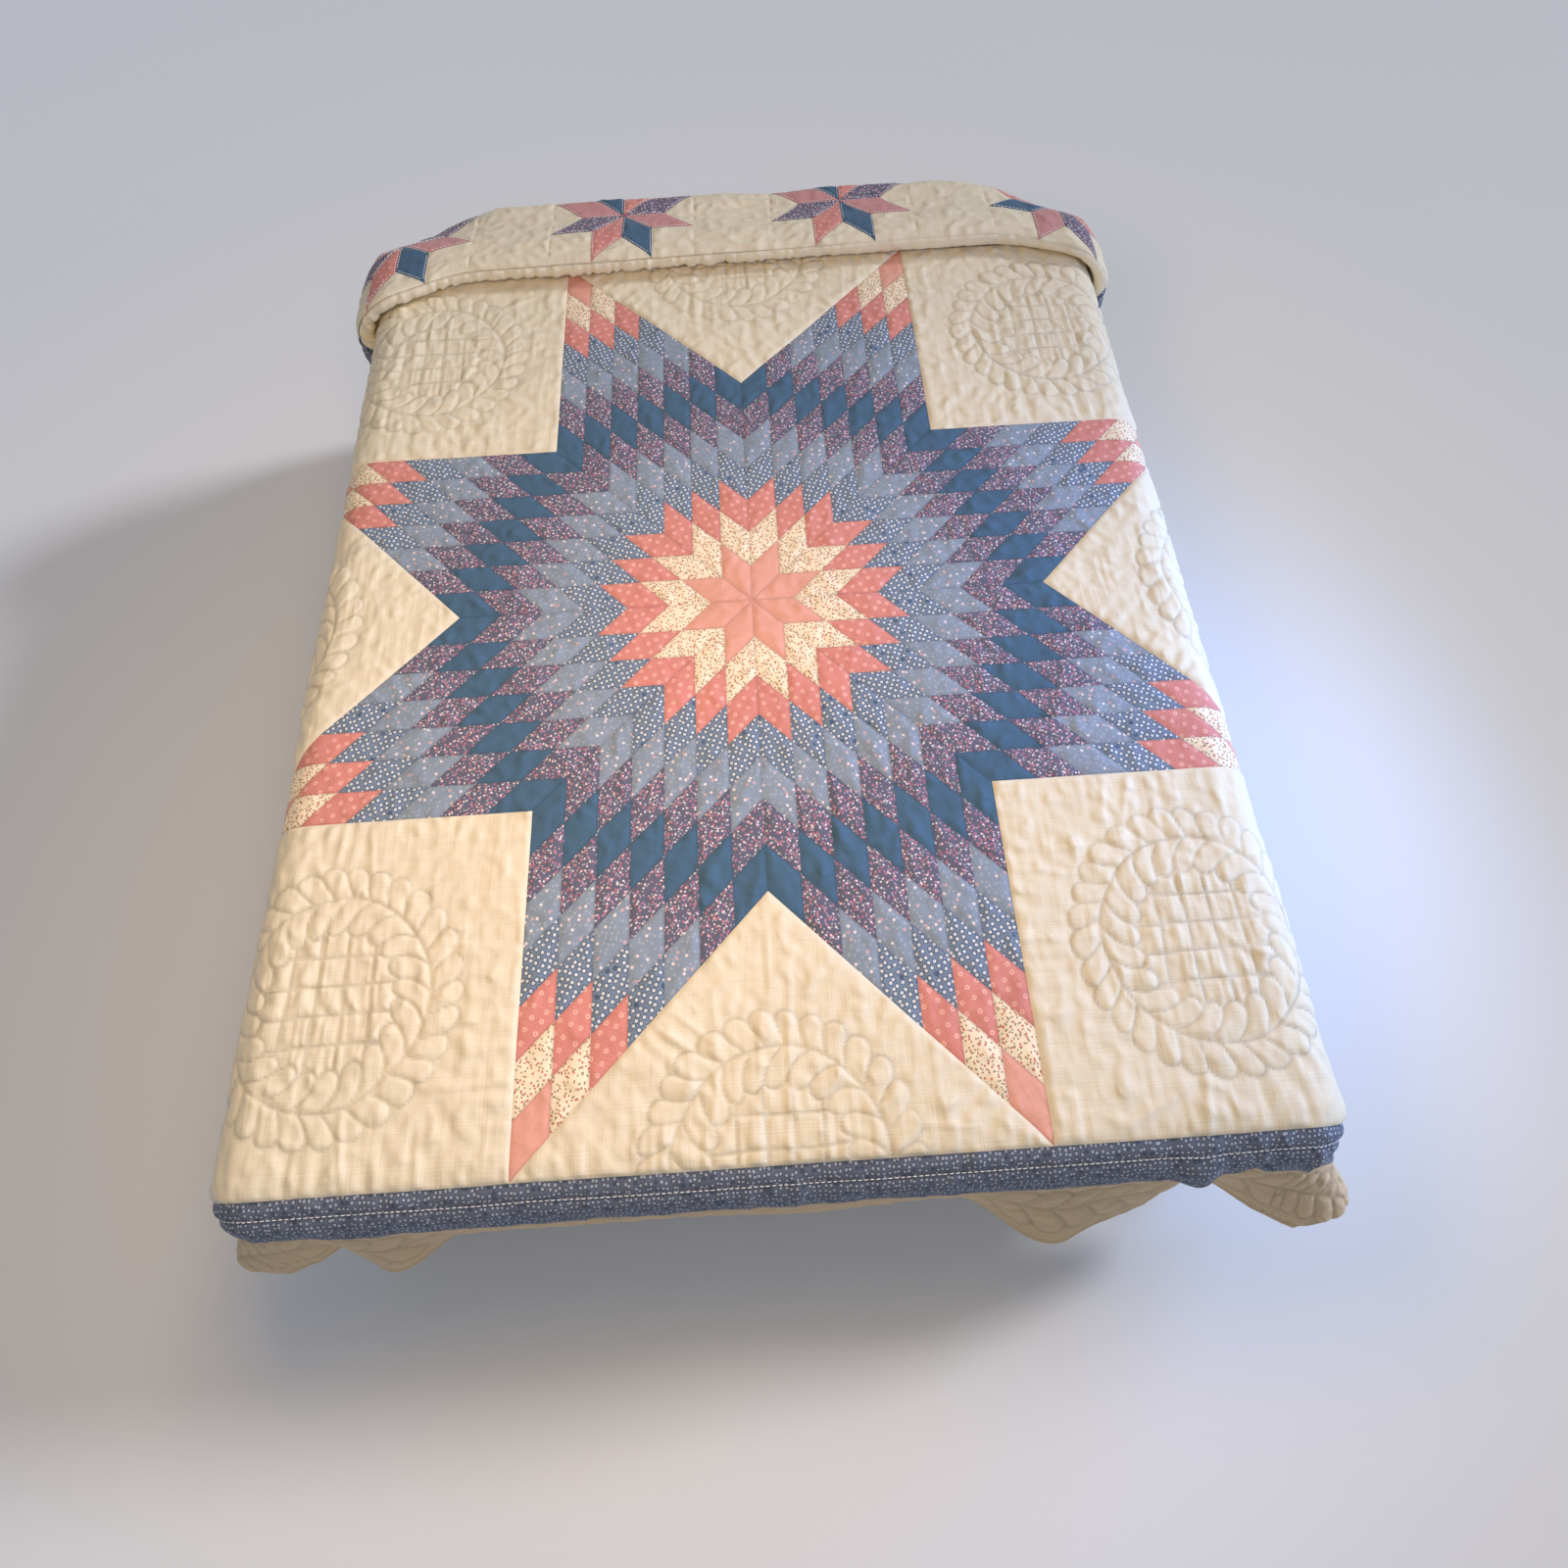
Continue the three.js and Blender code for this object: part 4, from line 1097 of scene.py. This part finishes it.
prints = np.stack([along_print, round_print], -1) * MM
bind_mesh.uv_layers.new(name="Print").uv.foreach_set("vector", prints.astype(np.float32).ravel())
binding = link_piece("binding_strip", bind_mesh, [BIND])
print("binding", len(quads), "faces,", round(len(hem) * HEM_STEP), "mm of flat hem")

# %% [markdown]
# Under the quilt are a plain mattress and its base. Each is a round-cornered box: a plan path, set in by
# the rounding of the edge, is carried up a profile, and closed by smaller and smaller rings. A piped seam
# runs round the edges, as on real bedding.

# %% Round-cornered boxes
PIPE_SIDES = 8


def plan_path(wide, long, foot, head, inset):
    """A rectangle with round corners, seen from above, set in by some lengths. A row for each inset."""
    turns = np.linspace(0, np.pi / 2, 9)
    corners = [(1, -1, foot, -np.pi / 2), (1, 1, head, 0), (-1, 1, head, np.pi / 2), (-1, -1, foot, np.pi)]
    inset = np.asarray(inset, float)[:, None]
    x, y = [], []
    for sx, sy, radius, start in corners:
        keep = np.maximum(radius - inset, 1)
        x.append(sx * (wide / 2 - inset - keep) + keep * np.cos(start + turns))
        y.append(sy * (long / 2 - inset - keep) + keep * np.sin(start + turns))
    return np.concatenate(x, 1), np.concatenate(y, 1)


def ring_faces(rings, around, closed=False):
    """Quads between rings of points, each ring closed on itself. If closed, the last ring joins the
    first."""
    i, j = pairs(np.arange(rings if closed else rings - 1), np.arange(around))
    next_i, next_j = (i + 1) % rings, (j + 1) % around
    corners = [i * around + j, i * around + next_j, next_i * around + next_j, next_i * around + j]
    return np.stack(corners, -1)


def box_piece(name, plan, edge, bottom, top, material, sag):
    """A soft box: its rings climb from the middle of the underside, round the edges, to the middle of
    the top. Halfway up, its walls are drawn in by sag."""
    arc = np.linspace(0, np.pi / 2, 7)
    middle = min(plan[:2]) / 2 - 2
    flat_in = edge + (middle - edge) * np.linspace(0.97, 0, 7)
    round_in, rise = edge * (1 - np.sin(arc)), edge * (1 - np.cos(arc))
    walls = np.linspace(bottom + edge, top - edge, 9)[1:-1]
    inset = np.concatenate([flat_in, round_in[1:], 0 * walls, round_in[::-1], flat_in[::-1][1:]])
    underside, upper = np.full(len(flat_in), bottom), np.full(len(flat_in) - 1, top)
    z = np.concatenate([underside, bottom + rise[1:], walls, (top - rise)[::-1], upper])
    bulge = sag * bump((z - (bottom + top) / 2) / ((top - bottom) / 2 - edge + 1)) * (inset < 0.01)
    x, y = plan_path(*plan, inset + bulge)
    points = np.stack([x, y, np.broadcast_to(z[:, None], x.shape)], -1)
    around = x.shape[1]
    faces = ring_faces(len(z), around)
    caps = [list(range(around))[::-1], list(range((len(z) - 1) * around, len(z) * around))]
    mesh = bpy.data.meshes.new(name)
    mesh.from_pydata((points.reshape(-1, 3) * MM).tolist(), [], faces.tolist() + caps)
    made = link_piece(name, mesh, [material])
    print(name, len(faces), "faces")
    return made


def piping(name, plan, inset, z, radius, material):
    """A thin cord sewn into the seam round an edge: a circle carried along the plan path."""
    x, y = (g[0] for g in plan_path(*plan, [inset]))
    path = np.stack([x, y], -1)
    way = np.roll(path, -1, 0) - np.roll(path, 1, 0)
    out = np.stack([way[:, 1], -way[:, 0]], -1) / np.linalg.norm(way, axis=1, keepdims=True)
    turns = np.linspace(0, 2 * np.pi, PIPE_SIDES, endpoint=False)
    flat = path[:, None] + out[:, None] * (radius * np.cos(turns))[:, None]
    high = np.broadcast_to(z + radius * np.sin(turns), flat.shape[:2])
    points = np.concatenate([flat, high[..., None]], -1)
    mesh = bpy.data.meshes.new(name)
    faces = ring_faces(len(path), PIPE_SIDES, closed=True)
    mesh.from_pydata((points.reshape(-1, 3) * MM).tolist(), [], faces.tolist())
    return link_piece(name, mesh, [material])


# %% [markdown]
# Ticking is a stout, close twill that keeps the filling in, and the base has a cover of the same kind.
# The ribs of a twill are about 1 mm apart. They are drawn wider here, about 7 mm apart, so that they
# show, and by nodes, as the cottons are.

# %% Mattress and base
WAVE_STEP = 6.28 / 20  # the wave texture repeats after 2 pi over 20 of its own lengths
RIB, MOTTLE, SAG = 5.0, 4.0, 4


def ticking(name, colour, stripe, pitch):
    """A stout twill cover on Object coordinates: faint ribs across the diagonal, 1.4 pitches apart on
    a face, and a fine mottle of its threads."""
    material, tree, shader = new_material(name)
    place = node(tree, "TexCoord")["Object"]
    flat = node(tree, "VectorMath", {0: place, "Scale": 1 / MM}, operation="SCALE")[0]
    bands = {"Vector": flat, "Scale": WAVE_STEP / pitch, "Distortion": 0.4}
    twill = node(tree, "TexWave", bands, bands_direction="DIAGONAL")[1]
    mottle = node(tree, "TexNoise", {"Vector": flat, "Scale": 1 / MOTTLE, "Detail": 3.0})[0]
    blend = node(tree, "Math", {0: twill, 1: mottle}, operation="MULTIPLY")[0]
    shades = {"Factor": blend, "A": linear(colour), "B": linear(stripe)}
    shown = node(tree, "Mix", shades, data_type="RGBA")["Result"]
    tree.links.new(shown, shader.inputs["Base Color"])
    soft = node(tree, "Bump", {"Height": blend, "Strength": 0.3, "Distance": 0.001})[0]
    tree.links.new(soft, shader.inputs["Normal"])
    shader.inputs["Roughness"].default_value = 0.9
    return material


TICKING = ticking("mattress ticking", "#EFE9DB", "#DDD3BE", RIB)
COVER = ticking("base cover cloth", "#B9AF9E", "#A2977F", RIB)
BED_BOTTOM = BASE_HIGH + GAP
BED_PLAN = (BED_WIDE, BED_LONG, BED_FOOT, BED_HEAD)
BASE_PLAN = (BASE_WIDE, BASE_LONG, BASE_FOOT, BASE_HEAD)
BED_PIPE, BASE_PIPE = (16, BED_BOTTOM + 22, 4), (0, 24, 3)  # set in, height and radius
mattress = box_piece("mattress_pad", BED_PLAN, BED_EDGE, BED_BOTTOM, BED_TOP, TICKING, SAG)
base = box_piece("base_box", BASE_PLAN, BASE_EDGE, 0, BASE_HIGH, COVER, 0)
seam_low = piping("mattress_piping", BED_PLAN, *BED_PIPE, TICKING)
seam_base = piping("base_piping", BASE_PLAN, *BASE_PIPE, COVER)

# %% [markdown]
# Last, the solids that the pieces stand for are hidden, so that only the finer pieces show.


for piece in (star, squares, triangles, head_panel, strip, border, backing):
    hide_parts("quilt")
for piece, solid, finish in (
    (binding, "binding", "binding_cotton"),
    (thread, "quilt", "quilt_cotton"),
    (mattress, "mattress", "ticking"),
    (seam_low, "mattress", "ticking"),
    (base, "base", "base_cover"),
    (seam_base, "base", "base_cover"),
):
    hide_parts(solid)
